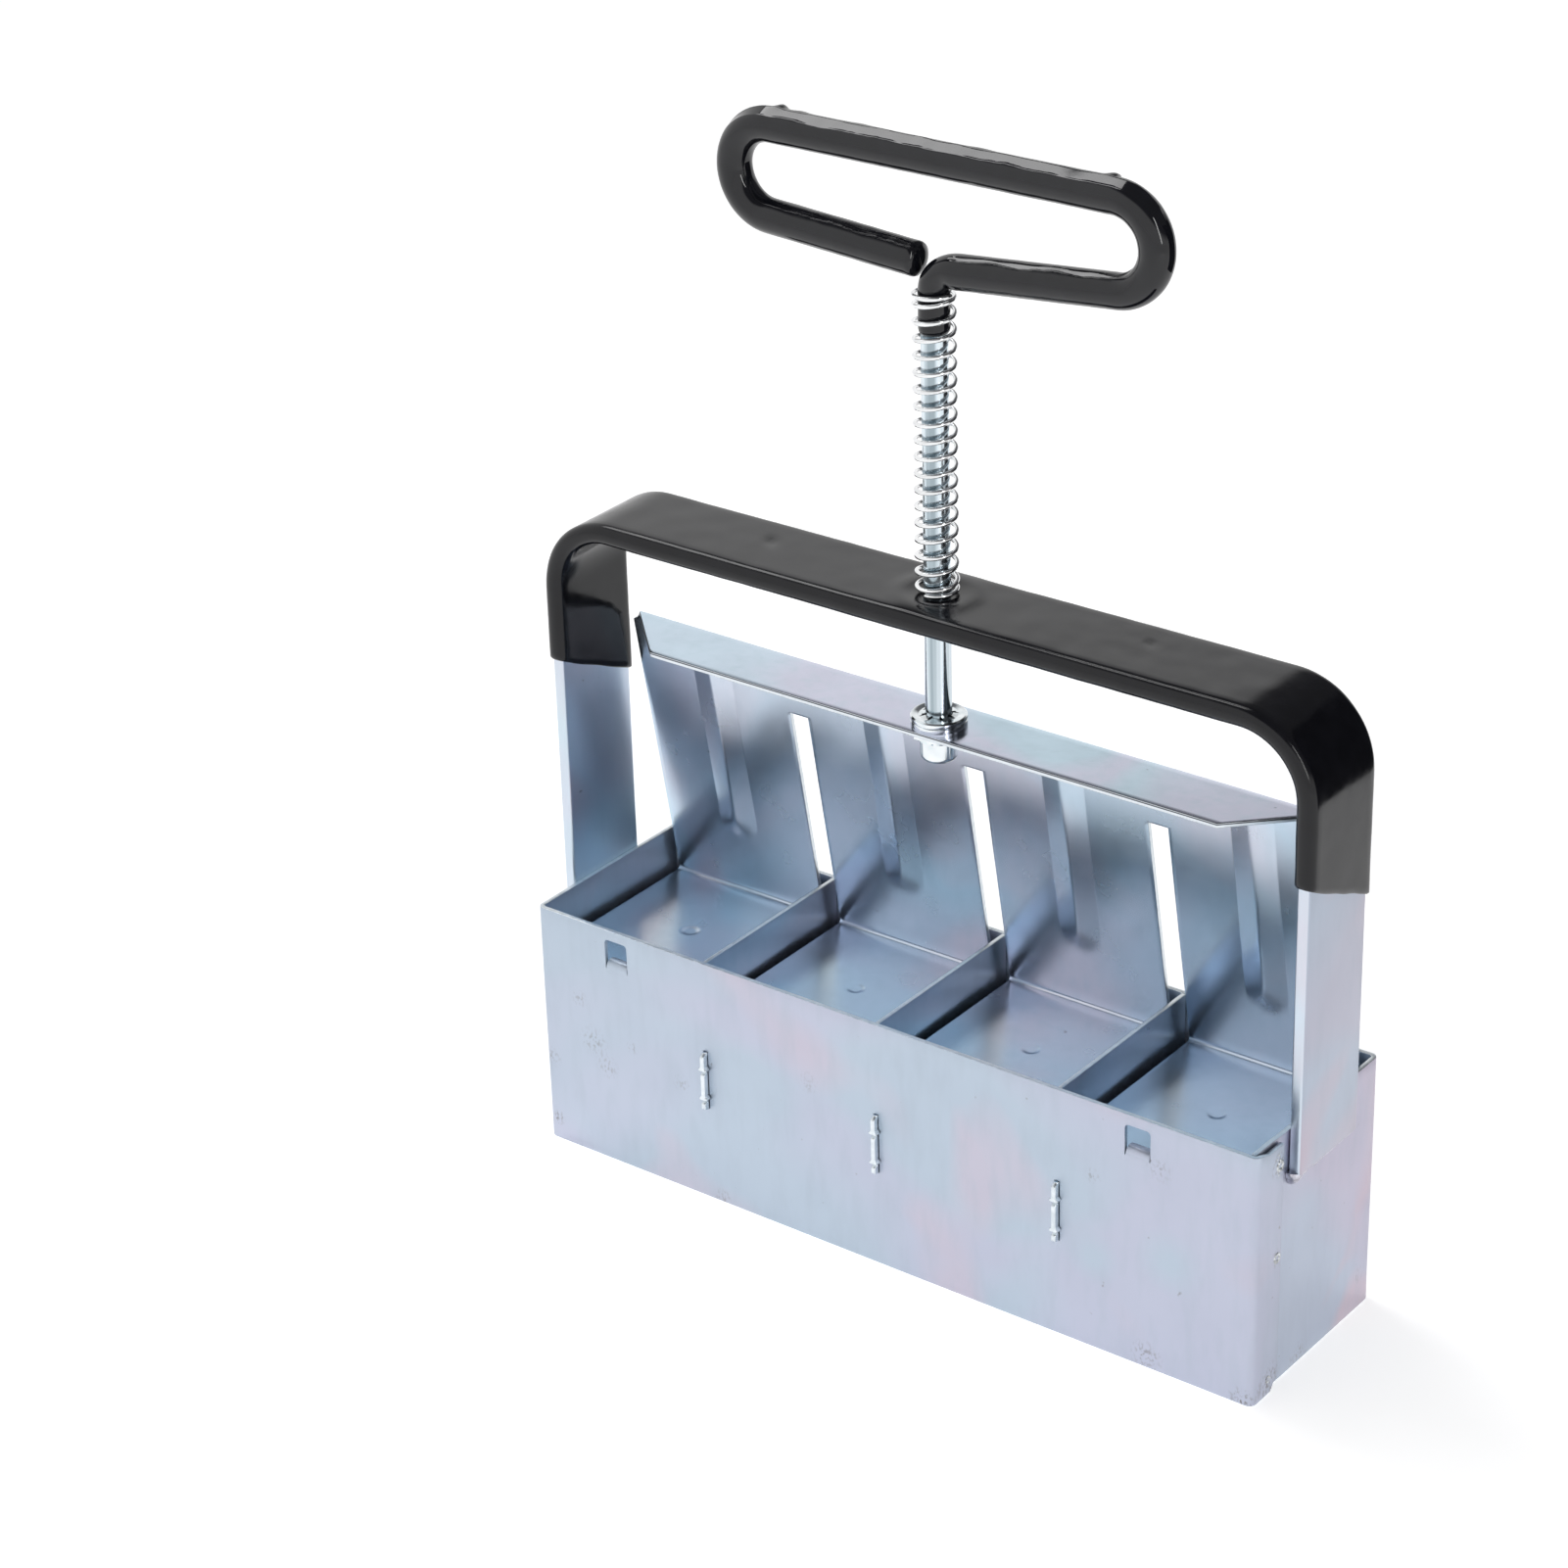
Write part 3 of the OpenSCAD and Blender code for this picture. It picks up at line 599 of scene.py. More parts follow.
# %% [markdown]
# Two windows were punched in the front wall, and the metal below each was left as a tongue and
# folded inward. The plates rest under these tongues. Slots take the dividers' tenons. All of
# these are cut from the thick sheet, so their edges show the cut metal.

# %% Cut the windows and slots
def arch_outline(x, half, low, high, r, steps=5):
    """An upright window outline round x with round upper corners."""
    points = [(x - half, low), (x + half, low)]
    for k in range(steps + 1):
        a = math.radians(90 * k / steps)
        points.append((x + half - r + r * math.cos(a), high - r + r * math.sin(a)))
    for k in range(steps + 1):
        a = math.radians(90 + 90 * k / steps)
        points.append((x - half + r + r * math.cos(a), high - r + r * math.sin(a)))
    return points


window_half = 3.45
window_high = 64.0
window_low = 56.2                             # where the tongue starts to fold
tongue_half = window_half - 0.2
slit_depth = 0.4
window_at = [-79.4, 74.0]                     # middles of the two windows along x
cutters = []
for x in window_at:
    outline = arch_outline(x, window_half, window_low, window_high, 1.0)
    cutters.append(slab("window", outline, box_front - 1, box_front + sheet + 1, "y", cut_edge))
    for side in (-1, 1):
        a, b = x + side * window_half, x + side * tongue_half
        left, right = min(a, b), max(a, b)
        foot, top = window_low - slit_depth, window_low + 0.5
        outline = [(left, foot), (right, foot), (right, top), (left, top)]
        cutters.append(slab("slit", outline, box_front - 1, box_front + sheet + 1, "y", cut_edge))
tenon_low, tenon_high = 26.0, 42.0
for x in divider_at:
    half, low, high = mid + 0.18, tenon_low - 0.15, tenon_high + 0.15
    outline = [(x - half, low), (x + half, low), (x + half, high), (x - half, high)]
    cutters.append(slab("slot", outline, box_front - 1, box_back + 1, "y", cut_edge))
cut_away(box_wall, cutters)
round_edges(box_wall, 0.16)
box_wall.data.materials.append(end_wall_shaded_zinc)
end_shade_index = len(box_wall.data.materials) - 1
# The right end wall's outward faces get the darker, pinker copy of the zinc: painted shade.
for face in box_wall.data.polygons:
    x = face.center.x / mm
    on_end_wall = face.normal.x > 0.9 and box_right - 0.6 < x < lap_face - 0.6
    if on_end_wall and face.material_index == 0:
        face.material_index = end_shade_index
settle(box_wall, "frame", "zinc_sheet", "box_wall")
print("box wall after cutting:", len(box_wall.data.polygons))

# %% [markdown]
# The two tongues keep the spring from lifting the plates any higher. They could be bent out of
# the wall's own mesh, but the wall is already cut and rounded there. It is simpler to carry a
# small cross-section along the fold, from just under the window round to the inside.

# %% Fold the stop tongues
def stop_tongue(name, x):
    """A tongue of sheet that curls inward from the window's lower edge."""
    fold = 1.2
    path = walk((front_line, window_low - slit_depth), 90, [feed(0.5), bend(-150, fold), feed(1.2)], 0.5, 15)
    rings = []
    for y, z, heading, walked in path:
        side = math.radians(heading + 90)
        off = [(-mid, -1), (mid, -1), (mid, 1), (-mid, 1)]
        narrow = tongue_half - 0.25 * walked / path[-1][3]
        rings.append([(x + s * narrow, y + t * math.cos(side), z + t * math.sin(side)) for t, s in off])
    points, faces = tube(rings)
    piece = loose_solid(name, points, faces, box_zinc)
    tidy_normals(piece)
    round_edges(piece, 0.14, 50)
    return settle(piece, "frame", "zinc_sheet")


tongues = [stop_tongue("stop_tongue_left", window_at[0]), stop_tongue("stop_tongue_right", window_at[1])]
print("tongues:", [t.name for t in tongues])

# %% [markdown]
# ## Dividers
# Three flat plates part the cells. Each has a tenon at both ends that passes through a slot in
# the wall and was struck with a chisel in two places to lock it. A plain block would do for a
# tenon, but a stack of cross-sections shows the ears that the chisel raised.

# %% Tenons
tenon_out = -span("divider_left", "y")[0]     # how far a tenon's end is from the middle
plate_half = -box_front - sheet - 0.1
stakes = [37.4, 29.2]                         # heights of the chisel's marks


def tenon_ring(z):
    """Cross-section (across, out) of a tenon at a height, wider and shorter where it is staked."""
    wide = mid
    reach = tenon_out
    for at in stakes:
        wide += 0.62 * math.exp(-((z - at) / 0.5) ** 2)
        reach -= 0.85 * math.exp(-((z - at + 0.85) / 0.34) ** 2)
    top = smooth(z, tenon_high - 1.3, tenon_high)
    reach -= 1.1 * top ** 2 + 0.4 * smooth(z, tenon_low + 0.5, tenon_low)
    wide -= 0.12 * top
    root, face = plate_half - 1, -box_front + 0.06
    return [(-mid, root), (mid, root), (mid, face), (wide, face + 0.1), (wide, reach - 0.25),
            (wide - 0.2, reach), (0.2 - wide, reach),
            (-wide, reach - 0.25), (-wide, face + 0.1), (-mid, face)]


def tenon(x, sign):
    """One tenon as a stack of cross-sections."""
    count = 64
    heights = [tenon_low + (tenon_high - tenon_low) * k / count for k in range(count + 1)]
    rings = [[(x + w, sign * out, z) for w, out in tenon_ring(z)] for z in heights]
    points, faces = tube(rings)
    return tidy_normals(loose_solid("tenon", points, faces, divider_zinc))


# %% Dividers
def divider(name, x, node):
    """One divider plate with its two tenons."""
    outline = [(-plate_half, 0), (plate_half, 0), (plate_half, rim), (-plate_half, rim)]
    piece = slab(name, outline, x - mid, x + mid, "x", divider_zinc)
    piece.data.materials.append(cut_edge)
    for face in piece.data.polygons:
        if abs(face.normal.x) < 0.5:
            face.material_index = 1
    round_edges(piece, 0.2, 50)
    join_on(piece, [tenon(x, -1), tenon(x, 1)])
    for face in piece.data.polygons:
        if abs(face.center.y) > -box_front * mm:
            face.material_index = 1
    return settle(piece, "frame", "zinc_sheet", node, 35)


for name, x in zip(("left", "middle", "right"), divider_at):
    divider("divider_plate_" + name, x, "divider_" + name)
print("dividers at", [round(x, 2) for x in divider_at])

# %% [markdown]
# ## Frame bar
# A flat bar of 25.4 by 3.2 mm is bent to a U and welded to the end walls. It could be a curve
# with a depth, but a cross-section carried along the bender's path keeps the bar flat through
# the bends and leaves plain faces for the hole. Its long edges are slightly round from rolling.

# %% Bar path
bar_out = span("frame_strap", "x")[1]
bar_top = span("frame_strap", "z")[1]
bar_end = span("frame_strap", "z")[0]
bar_half = span("frame_strap", "y")[1]
bar_t = 3.2
bar_bend = 16 + bar_t / 2                     # bend radius at the middle of the bar
leg_mid = bar_out - bar_t / 2
leg_run = bar_top - bar_t / 2 - bar_bend - bar_end
top_run = 2 * (leg_mid - bar_bend)


def bar_path(step, turn_step, short=0.0):
    """The bar's middle line from the left leg's end, over the top, to the right leg's end."""
    leg, corner_turn = feed(leg_run - short), bend(-90, bar_bend)
    moves = [leg, corner_turn, feed(top_run), corner_turn, leg]
    return walk((-leg_mid, bar_end + short), 90, moves, step, turn_step)


def round_rectangle(half_w, half_t, r, steps=4):
    """Cross-section points (across, out) with round corners."""
    points = []
    for cw, ct, turn in ((1, 1, 0), (-1, 1, 90), (-1, -1, 180), (1, -1, 270)):
        for k in range(steps + 1):
            a = math.radians(turn + 90 * k / steps)
            points.append((cw * (half_w - r) + r * math.cos(a), ct * (half_t - r) + r * math.sin(a)))
    return points


def with_fill(section, spacing):
    """Adds points to the long sides of a cross-section, so that they can be shaped."""
    filled = []
    for here, there in zip(section, section[1:] + section[:1]):
        count = max(1, round(math.dist(here, there) / spacing))
        for k in range(count):
            filled.append(tuple(h + (t - h) * k / count for h, t in zip(here, there)))
    return filled


def ring_on_bar(a, b, heading, section):
    """A cross-section set on the bar's path. Outward is to the left of the walk."""
    out = math.radians(heading + 90)
    return [(a + t * math.cos(out), w, b + t * math.sin(out)) for w, t in section]


bar_edge = 0.8                                # radius of the rolled edges
bar_section = round_rectangle(bar_half, bar_t / 2, bar_edge)
rings = [ring_on_bar(a, b, h, bar_section) for a, b, h, s in bar_path(6, 7.5)]
points, faces = tube(rings)
bar = loose_solid("frame_bar", points, faces, bar_zinc)
tidy_normals(bar)
print("bar rings:", len(rings))


# %% [markdown]
# The rod slides in a hole in the middle of the bar that is a little wider than the rod. The hole
# could be planned into the mesh, but cutting it with a round solid is the same act as drilling.
# Then the edges are rounded, and the narrow sides and the legs' outer sides get lighter and darker copies of
# the zinc, which are painted light and shade.

# %% Drill the bar
def round_cutter(name, radius, low, high, steps=48):
    """An upright round cutter on the rod's axis."""
    angles = [2 * math.pi * k / steps for k in range(steps)]
    rings = [[(radius * math.cos(a), radius * math.sin(a), z) for a in angles] for z in (low, high)]
    points, faces = tube(rings)
    return tidy_normals(loose_solid(name, points, faces, cut_edge))


guide_r = 3.6                                 # radius of the rod's hole
cut_away(bar, [round_cutter("guide", guide_r, bar_top - bar_t - 2, bar_top + 2)])
round_edges(bar, 0.4, 60, 3)
bar.data.materials.append(bar_side_lit_zinc)
bar.data.materials.append(leg_outer_shaded_zinc)
last = len(bar.data.materials) - 1
# The bar's narrow sides get a lighter copy of the zinc as painted light, and the legs' outer sides a darker
# copy as painted shade.
for face in bar.data.polygons:
    if face.material_index == 0 and abs(face.normal.y) > 0.6:
        face.material_index = last - 1
    elif face.material_index == 0 and face.normal.x * face.center.x > 0.6 * leg_mid * mm:
        face.material_index = last
settle(bar, "frame", "zinc_bar", "frame_strap")
print("bar faces:", len(bar.data.polygons))

# %% [markdown]
# ## Dipped coating on the bar
# The bent bar was dipped top first and at a slant, so the coating ends in a sloping, slightly
# wavy line on each leg. The skin is a little over a millimetre thick and gathers in round
# corners. It is made as a real skin, with an outer and an inner side, so its ends show a lip.

# %% Coating skin
coat_t = 1.2                                  # thickness of the skin
coat_end_mid = 123.0                          # height of the end line in the middle of a leg
coat_slope = math.tan(math.radians(24))
coat_rows = 18


def coat_end(w, side):
    """Height of the coating's end line at a place across the bar."""
    ripple = 0.5 * noise.noise(Vector((w * 0.16, side * 4.0, 0.3)))
    return coat_end_mid - coat_slope * w + ripple


# Dents in the top of the coating, as (x, y, depth, width, length).
coat_dents = [(-49.9, 2.2, 0.35, 1.3, 2.6), (56.0, 3.3, 0.3, 1.0, 1.6)]


def coat_lump(x, y, z):
    """Rise and fall of the dried coating, with the ring of extra skin round the guide hole."""
    spot = Vector((x, y, z))
    rise = 0.1 * noise.noise(spot * 0.05) + 0.05 * noise.noise(spot * 0.16) - 0.12
    if z > bar_top:
        away = math.hypot(x, y)
        rise += 0.3 * math.exp(-((away - 9) / 2.6) ** 2)
        for dx, dy, depth, wide, long in coat_dents:
            along, across = (x - dx) * 0.8 + (y - dy) * 0.6, (y - dy) * 0.8 - (x - dx) * 0.6
            rise -= depth * math.exp(-(along / wide) ** 2 - (across / long) ** 2)
    return rise


def coat_rings(thick, radius):
    """Rings of the skin at a thickness over the bar, with the legs' ends on the slanted line."""
    section = with_fill(round_rectangle(bar_half + thick, bar_t / 2 + thick, radius, 6), 1.5)
    bend_foot = bar_end + leg_run
    arch = [p for p in bar_path(1.5, 4) if p[1] > bend_foot - 0.01]
    rings = []
    for side in (-1, 1):
        leg = []
        for k in range(coat_rows):
            share = k / coat_rows
            leg.append([(side * (leg_mid + t), w, coat_end(w, side) * (1 - share) + bend_foot * share)
                        for w, t in section])
        if side < 0:
            rings = leg + [ring_on_bar(a, b, h, section) for a, b, h, s in arch]
        else:
            rings += leg[::-1]
    return rings


outer = coat_rings(coat_t, 2.5)
inner = coat_rings(0.03, 1.0)
lip_drop = 0.45                               # how far the lip hangs below the skin's ends


def lip(outer_ring, inner_ring):
    """A ring halfway between the two sides of the skin, drawn down to a rounded lip."""
    middle = [Vector(o).lerp(Vector(i), 0.5) for o, i in zip(outer_ring, inner_ring)]
    return [(x, y, z - lip_drop) for x, y, z in middle]


rings = [lip(outer[0], inner[0])] + outer + [lip(outer[-1], inner[-1])] + inner[::-1]
coat = loose_solid("bar_coating", flat(rings), skin(rings, close=True), bar_vinyl)
tidy_normals(coat)
first, last = len(outer[0]), len(outer[0]) * (1 + len(outer))
shifts = [v.normal * coat_lump(*(v.co / mm)) * mm for v in coat.data.vertices[first:last]]
for v, shift in zip(coat.data.vertices[first:last], shifts):
    v.co += shift
cut_away(coat, [round_cutter("guide", guide_r, bar_top - bar_t - 4, bar_top + 4)])
settle(coat, "frame", "dipped_coating", "frame_coating", 50)
print("coating faces:", len(coat.data.polygons))

# %% [markdown]
# ## Welds
# The bar's legs are welded to the end walls with a rough bead under each end. A bead could be
# sculpted by hand. Here it is a row of cross-sections along the seam, each a round fillet whose
# size wanders as the welder's hand did, because a rule with noise gives the same bead each time.

# %% Weld beads
def drops(name, spots, body, slot, node, voxel, material):
    """Merges round drops of (x, y, z, radius, flatten along x) into one rough solid."""
    shape = bmesh.new()
    for x, y, z, r, squeeze in spots:
        place = Matrix.Translation(Vector((x, y, z)) * mm) @ Matrix.Diagonal((squeeze, 1, 1, 1))
        bmesh.ops.create_icosphere(shape, subdivisions=3, radius=r * mm, matrix=place)
    mesh = bpy.data.meshes.new(name)
    shape.to_mesh(mesh)
    shape.free()
    piece = bpy.data.objects.new(name, mesh)
    bpy.context.scene.collection.objects.link(piece)
    step = piece.modifiers.new("merge", "REMESH")
    step.mode = "VOXEL"
    step.voxel_size = voxel * mm
    bake_modifiers(piece)
    for v in piece.data.vertices:
        v.co += v.normal * 0.06 * mm * noise.noise(v.co / mm * 1.3)
    piece.data.materials.append(material)
    return settle(piece, body, slot, node, 80)


def bead(name, side, node):
    """A fillet along a leg's lower end, from the bar's outer edge down to the wall."""
    wall, outer_edge = box_right + 0.02, bar_out - 0.2
    low_y, high_y = -bar_half - 0.9, bar_half + 0.9
    rings = []
    for k in range(141):
        y = low_y + (high_y - low_y) * k / 140
        ends = min(1, (y - low_y) / 0.9 + 0.1, (high_y - y) / 3.0 + 0.15)
        slow_wave = noise.noise(Vector((y * 0.35, side * 3.0, 0)))
        wave = slow_wave + 0.5 * noise.noise(Vector((y * 1.1, side * 2.0, 1)))
        ripple = 0.16 * math.sin(2 * math.pi * y / 1.6 + 3 * wave)
        taper = 1.9 - 0.9 * (y - low_y) / (high_y - low_y)
        foot = 1.3 * math.exp(-((y + bar_half - 0.6) / 1.3) ** 2)
        drop = (taper + foot + 0.4 * wave + ripple) * ends
        run = min(1, 0.3 + 0.7 * ends) * (outer_edge - wall) * (1 + 0.12 * min(0, wave + ripple))
        ring = [(0.0, 0.5), (run, 0.5)]
        for j in range(11):
            a = math.radians(90 * j / 10)
            ring.append((run * math.cos(a), 0.2 - (drop + 0.2) * math.sin(a)))
        rings.append([(side * (wall + out), y, bar_end + up) for out, up in ring])
    points, faces = tube(rings)
    piece = loose_solid(name, points, faces, weld_metal)
    tidy_normals(piece)
    return settle(piece, "frame", "weld_metal", node, 60)


bead("weld_bead_left", -1, "strap_weld_left")
bead("weld_bead_right", 1, "strap_weld_right")
print("beads done")

# %% [markdown]
# The lap of the box is held by three small spot welds, with a line of fine drops at the top one.
# Each weld is a ring of small balls. They could be left as balls that cross each other, but
# merging them into one skin gives the soft valleys of metal that has run together.

# %% Spot welds on the lap
# The spot welds, as (y, z, radius).
spot_rows = [(-18.2, 60.5, 1.5), (-18.4, 36.0, 1.4), (-20.9, 4.2, 1.0)]
lap_spots = []
for y, z, r in spot_rows:
    for k in range(9):
        a = math.radians(40 * k)
        drop_y, drop_z = y + r * 0.75 * math.cos(a), z + r * 0.75 * math.sin(a)
        lap_spots.append((lap_face - 0.12, drop_y, drop_z, r * 0.38, 0.6))
for k in range(8):
    y, z = -18.9 + 1.5 * noise.noise(Vector((k * 1.7, 0, 0))), 63.6 - 0.75 * k
    lap_spots.append((lap_face - 0.12, y, z, 0.36 + 0.12 * noise.noise(Vector((k, 4, 0))), 0.6))
drops("lap_spot_welds", lap_spots, "frame", "weld_metal", "lap_welds", 0.12, spot_metal)
print("welds done")

# %% [markdown]
# ## Plunger sheet
# The plunger is one sheet: four plates at the foot that push on the soil, a web that leans
# forward, and a flange at the top for the rod. Separate flat boxes would be quicker, but they
# would lose the round folds. So the sheet is laid out flat, as the maker cut it, with x across
# and v along the strip. First come its lengths: each straight run and the arc of each fold.

# %% Plunger path
plate_front = span("plunger_sheet", "y")[0]
foot_back = span("plunger_sheet", "y")[1]
flange_top = span("plunger_sheet", "z")[1]
web_half = span("plunger_sheet", "x")[1]
plate_top = 55.5                              # top faces of the plates, just under the tongues
lean = 10.4                                   # how far the web leans forward, in degrees
fold = 1.2 + mid                              # radius of the folds at the middle of the sheet
foot_y = foot_back - fold - mid
foot_z = plate_top - mid + fold
head_z = flange_top - mid - fold
web_run = (head_z - foot_z) / math.cos(math.radians(lean))
head_y = foot_y - web_run * math.sin(math.radians(lean))
flange_depth = 19.6
front_half = 80.75                            # half the width of the flange's front edge
flange_front = head_y + fold + mid - flange_depth
plate_run = foot_y - plate_front
flange_run = head_y - flange_front
foot_arc = math.radians(90 + lean) * fold
head_arc = math.radians(90 - lean) * fold
web_start = plate_run + foot_arc
flange_start = web_start + web_run + head_arc
print("developed length", round(flange_start + flange_run, 1), "mm")


# %% [markdown]
# The flat sheet becomes a grid of points. It could be equally fine all over, but that makes a
# far heavier mesh. So its lines lie closer together where the seed dimples are pressed, and
# single lines run along the edges of the slots, the ribs and the folds.

# %% Grid lines
def lines(low, high, step, dense_at=(), dense_half=3.4, dense_step=0.4, keep=()):
    """Grid positions from low to high, closer together round some places, and through others."""
    marks = set()
    count = round((high - low) / step)
    for k in range(count + 1):
        x = low + (high - low) * k / count
        if all(abs(x - d) > dense_half for d in dense_at) and all(abs(x - e) > step * 0.3 for e in keep):
            marks.add(round(x, 4))
    for d in dense_at:
        for k in range(round(2 * dense_half / dense_step) + 1):
            marks.add(round(d - dense_half + k * dense_step, 4))
    marks.update(round(e, 4) for e in keep)
    marks.update((round(low, 4), round(high, 4)))
    return sorted(marks)


rib_half = 5.8
slot_half = 2.7                               # half the width of the web's slots
slot_top = 117.0                              # height of the slots' upper ends
slot_edges = [x + s * slot_half for x in divider_at for s in (-1, 1)]
slot_reach = web_start + (slot_top - foot_z) / math.cos(math.radians(lean))
rib_edges = [x + s * (rib_half + d) for x in panel_at for s in (-1, 1) for d in (0, -0.3, 0.3)]
across = lines(-web_half, web_half, 1.3, panel_at, 3.2, 0.4, slot_edges + rib_edges)
plate_mid = plate_run - foot_y                # where the plates pass under the rod's axis
fold_marks = [plate_run + foot_arc * k / 6 for k in range(7)]
fold_marks += [web_start + web_run + head_arc * k / 6 for k in range(7)]
along = lines(0, flange_start + flange_run, 1.6, (plate_mid,), 3.2, 0.4, fold_marks + [slot_reach])
print("grid:", len(across), "by", len(along))


# %% [markdown]
# Each grid point is set on the folded profile and then moved off the sheet's plane for the ribs
# and the dimples. The slots could be cut out later, but leaving them out of the grid gives
# cleaner edges. The flange's front corners are drawn in at 45 degrees.

# %% Fold the grid
def fold_at(v):
    """The point (y, z) of the sheet's middle and its heading at a distance along the strip."""
    if v <= plate_run:
        return plate_front + v, plate_top - mid, 0.0
    if v <= web_start:
        turned = math.degrees((v - plate_run) / fold)
        a = math.radians(turned - 90)
        return foot_y + fold * math.cos(a), foot_z + fold * math.sin(a), turned
    if v <= web_start + web_run:
        go = v - web_start
        a = math.radians(lean)
        y, z = foot_y + fold * math.cos(a), foot_z + fold * math.sin(a)
        return y - go * math.sin(a), z + go * math.cos(a), 90 + lean
    if v <= flange_start:
        turned = lean + math.degrees((v - web_start - web_run) / fold)
        a = math.radians(turned)
        return head_y + fold * math.cos(a), head_z + fold * math.sin(a), turned + 90
    return head_y - (v - flange_start), flange_top - mid, 180.0


rib_height = 1.15
rib_foot = 16                                 # from the lower fold up to the ribs' ends
rib_low = web_start + rib_foot + rib_half
rib_high = web_start + web_run


def rib_press(x, v):
    """How far the pressed ribs stand forward of the web."""
    for centre in panel_at:
        along_rib = min(max(v, rib_low), rib_high)
        away = math.hypot(x - centre, (v - along_rib)) / rib_half
        if away < 1:
            return rib_height * min(1 - away, 0.95) * smooth(v, rib_high - 0.5, rib_high - 5)
    return 0.0


dimple_depth = 0.3


def dimple_press(x, v):
    """How far the seed dimples are pressed down into the plates."""
    for centre in panel_at:
        away = math.hypot(x - centre, v - plate_mid)
        if away < 2.9:
            return dimple_depth * smooth(away, 2.9, 1.2)
    return 0.0


def plunger_point(x, v):
    """A point of the folded sheet with its ribs, dimples, corners and slight waviness."""
    y, z, heading = fold_at(v)
    if v > web_start + web_run:
        half = min(web_half, front_half + (y - flange_front))
        x = x * half / web_half
    front = math.radians(heading + 90)
    press = rib_press(x, v) if web_start < v < web_start + web_run else 0.0
    if v < plate_run:
        press -= dimple_press(x, v)
    press += 0.12 * noise.noise(Vector((x * 0.02, v * 0.025, 4.2)))
    return (x, y + press * math.cos(front), z + press * math.sin(front))


def in_slot(x, v):
    return v < slot_reach and any(abs(x - d) < slot_half for d in divider_at)


grid = [plunger_point(x, v) for x in across for v in along]
rows = len(along)
faces = []
for i in range(len(across) - 1):
    for j in range(rows - 1):
        if not in_slot((across[i] + across[i + 1]) / 2, (along[j] + along[j + 1]) / 2):
            k = i * rows + j
            faces.append((k, k + rows, k + rows + 1, k + 1))
plunger = loose_solid("plunger_plate", grid, faces, plunger_zinc)
plunger.data.materials.append(cut_edge)
shape = bmesh.new()
shape.from_mesh(plunger.data)
bmesh.ops.delete(shape, geom=[v for v in shape.verts if not v.link_faces], context="VERTS")
shape.to_mesh(plunger.data)
shape.free()
thicken(plunger, sheet)
round_edges(plunger, 0.14, 60)
# The flange's top face gets a lighter copy of the zinc as painted light, and its cut edge a painted dark line
# of shade.
flange_edge = painted_shade_edge("flange_edge", flange_top - 0.5, flange_top - 0.1)
plunger.data.materials.append(flange_edge)
plunger.data.materials.append(flange_top_lit_zinc)
for face in plunger.data.polygons:
    if face.center.z > (flange_top - sheet) * mm:
        if face.material_index == 1:
            face.material_index = 2
        elif face.normal.z > 0.9:
            face.material_index = 3
settle(plunger, "plunger", "zinc_sheet", "plunger_sheet", 45)
print("plunger faces:", len(plunger.data.polygons))

# %% [markdown]
# ## Push rod and handle loop
# A quarter-inch rod runs from the flange up through the bar, is bent to the right and then
# round into a flat loop. Its free end stops beside the rod. A curve with a round bevel would be
# quick, but rings on the bender's path let the coating follow the same path with its own radius.

# %% Rod path
rod_r = 6.35 / 2
rod_low = span("push_rod", "z")[0]
loop_top = span("push_rod", "z")[1] - rod_r - 0.05
loop_left = span("push_rod", "x")[0] + rod_r + 0.05
loop_right = span("push_rod", "x")[1] - rod_r - 0.05
right_rise, left_rise = 5.2, 3.5              # slopes of the loop's lower bars, in degrees
right_r, left_r = 10.6, 10.8                  # radii of the loop's ends at the rod's middle
elbow_r = 2 * rod_r
right_x, left_x = loop_right - right_r, loop_left + left_r


def tan(angle):
    return math.tan(math.radians(angle))


def cos(angle):
    return math.cos(math.radians(angle))


def sin(angle):
    return math.sin(math.radians(angle))


low_right = (right_x + right_r * sin(right_rise), loop_top - right_r * (1 + cos(right_rise)))
elbow_x = elbow_r * (1 - sin(right_rise))
elbow_z = low_right[1] - (low_right[0] - elbow_x) * tan(right_rise) - elbow_r * cos(right_rise)
free_end_x = -4.7                             # where the loop's free end stops
left_run = (free_end_x - (left_x - left_r * sin(left_rise))) / cos(left_rise)


def rod_path(low, left_length, step, turn_step):
    """The rod's middle line from a height on the rod to near the free end of the loop."""
    moves = [feed(elbow_z - low), bend(right_rise - 90, elbow_r),
             feed((low_right[0] - elbow_x) / cos(right_rise)), bend(180 - right_rise, right_r),
             feed(right_x - left_x), bend(180 - left_rise, left_r), feed(left_length)]
    return walk((0, low), 90, moves, step, turn_step)


def ring_on_rod(a, b, heading, radius, sides):
    """A round cross-section on the path. radius is a number or a rule of the angle."""
    out = math.radians(heading + 90)
    ring = []
    for k in range(sides):
        turn = 2 * math.pi * k / sides
        r = radius(turn) if callable(radius) else radius
        t = r * math.cos(turn)
        ring.append((a + t * math.cos(out), r * math.sin(turn), b + t * math.sin(out)))
    return ring


path = rod_path(rod_low, left_run, 6, 7)
rings = [ring_on_rod(a, b, h, rod_r, 40) for a, b, h, s in path]
rings.insert(0, ring_on_rod(path[0][0], path[0][1], 90, rod_r - 0.5, 40))
rings[1] = [(x, y, z + 0.5) for x, y, z in rings[1]]
points, faces = tube(rings)
rod = loose_solid("bent_rod", points, faces, rod_zinc)
tidy_normals(rod)
settle(rod, "plunger", "zinc_bar", "push_rod", 35)
print("elbow at", round(elbow_z, 2), "rod rings", len(rings))


# %% [markdown]
# The skin on the loop is uneven: the vinyl ran to the upper side, set there as a flat band and
# left a few lumps. It could be sculpted, but here the radius is a rule of the place along the
# rod and the angle round it, so each lump stays where it is wanted and the end closes cleanly.

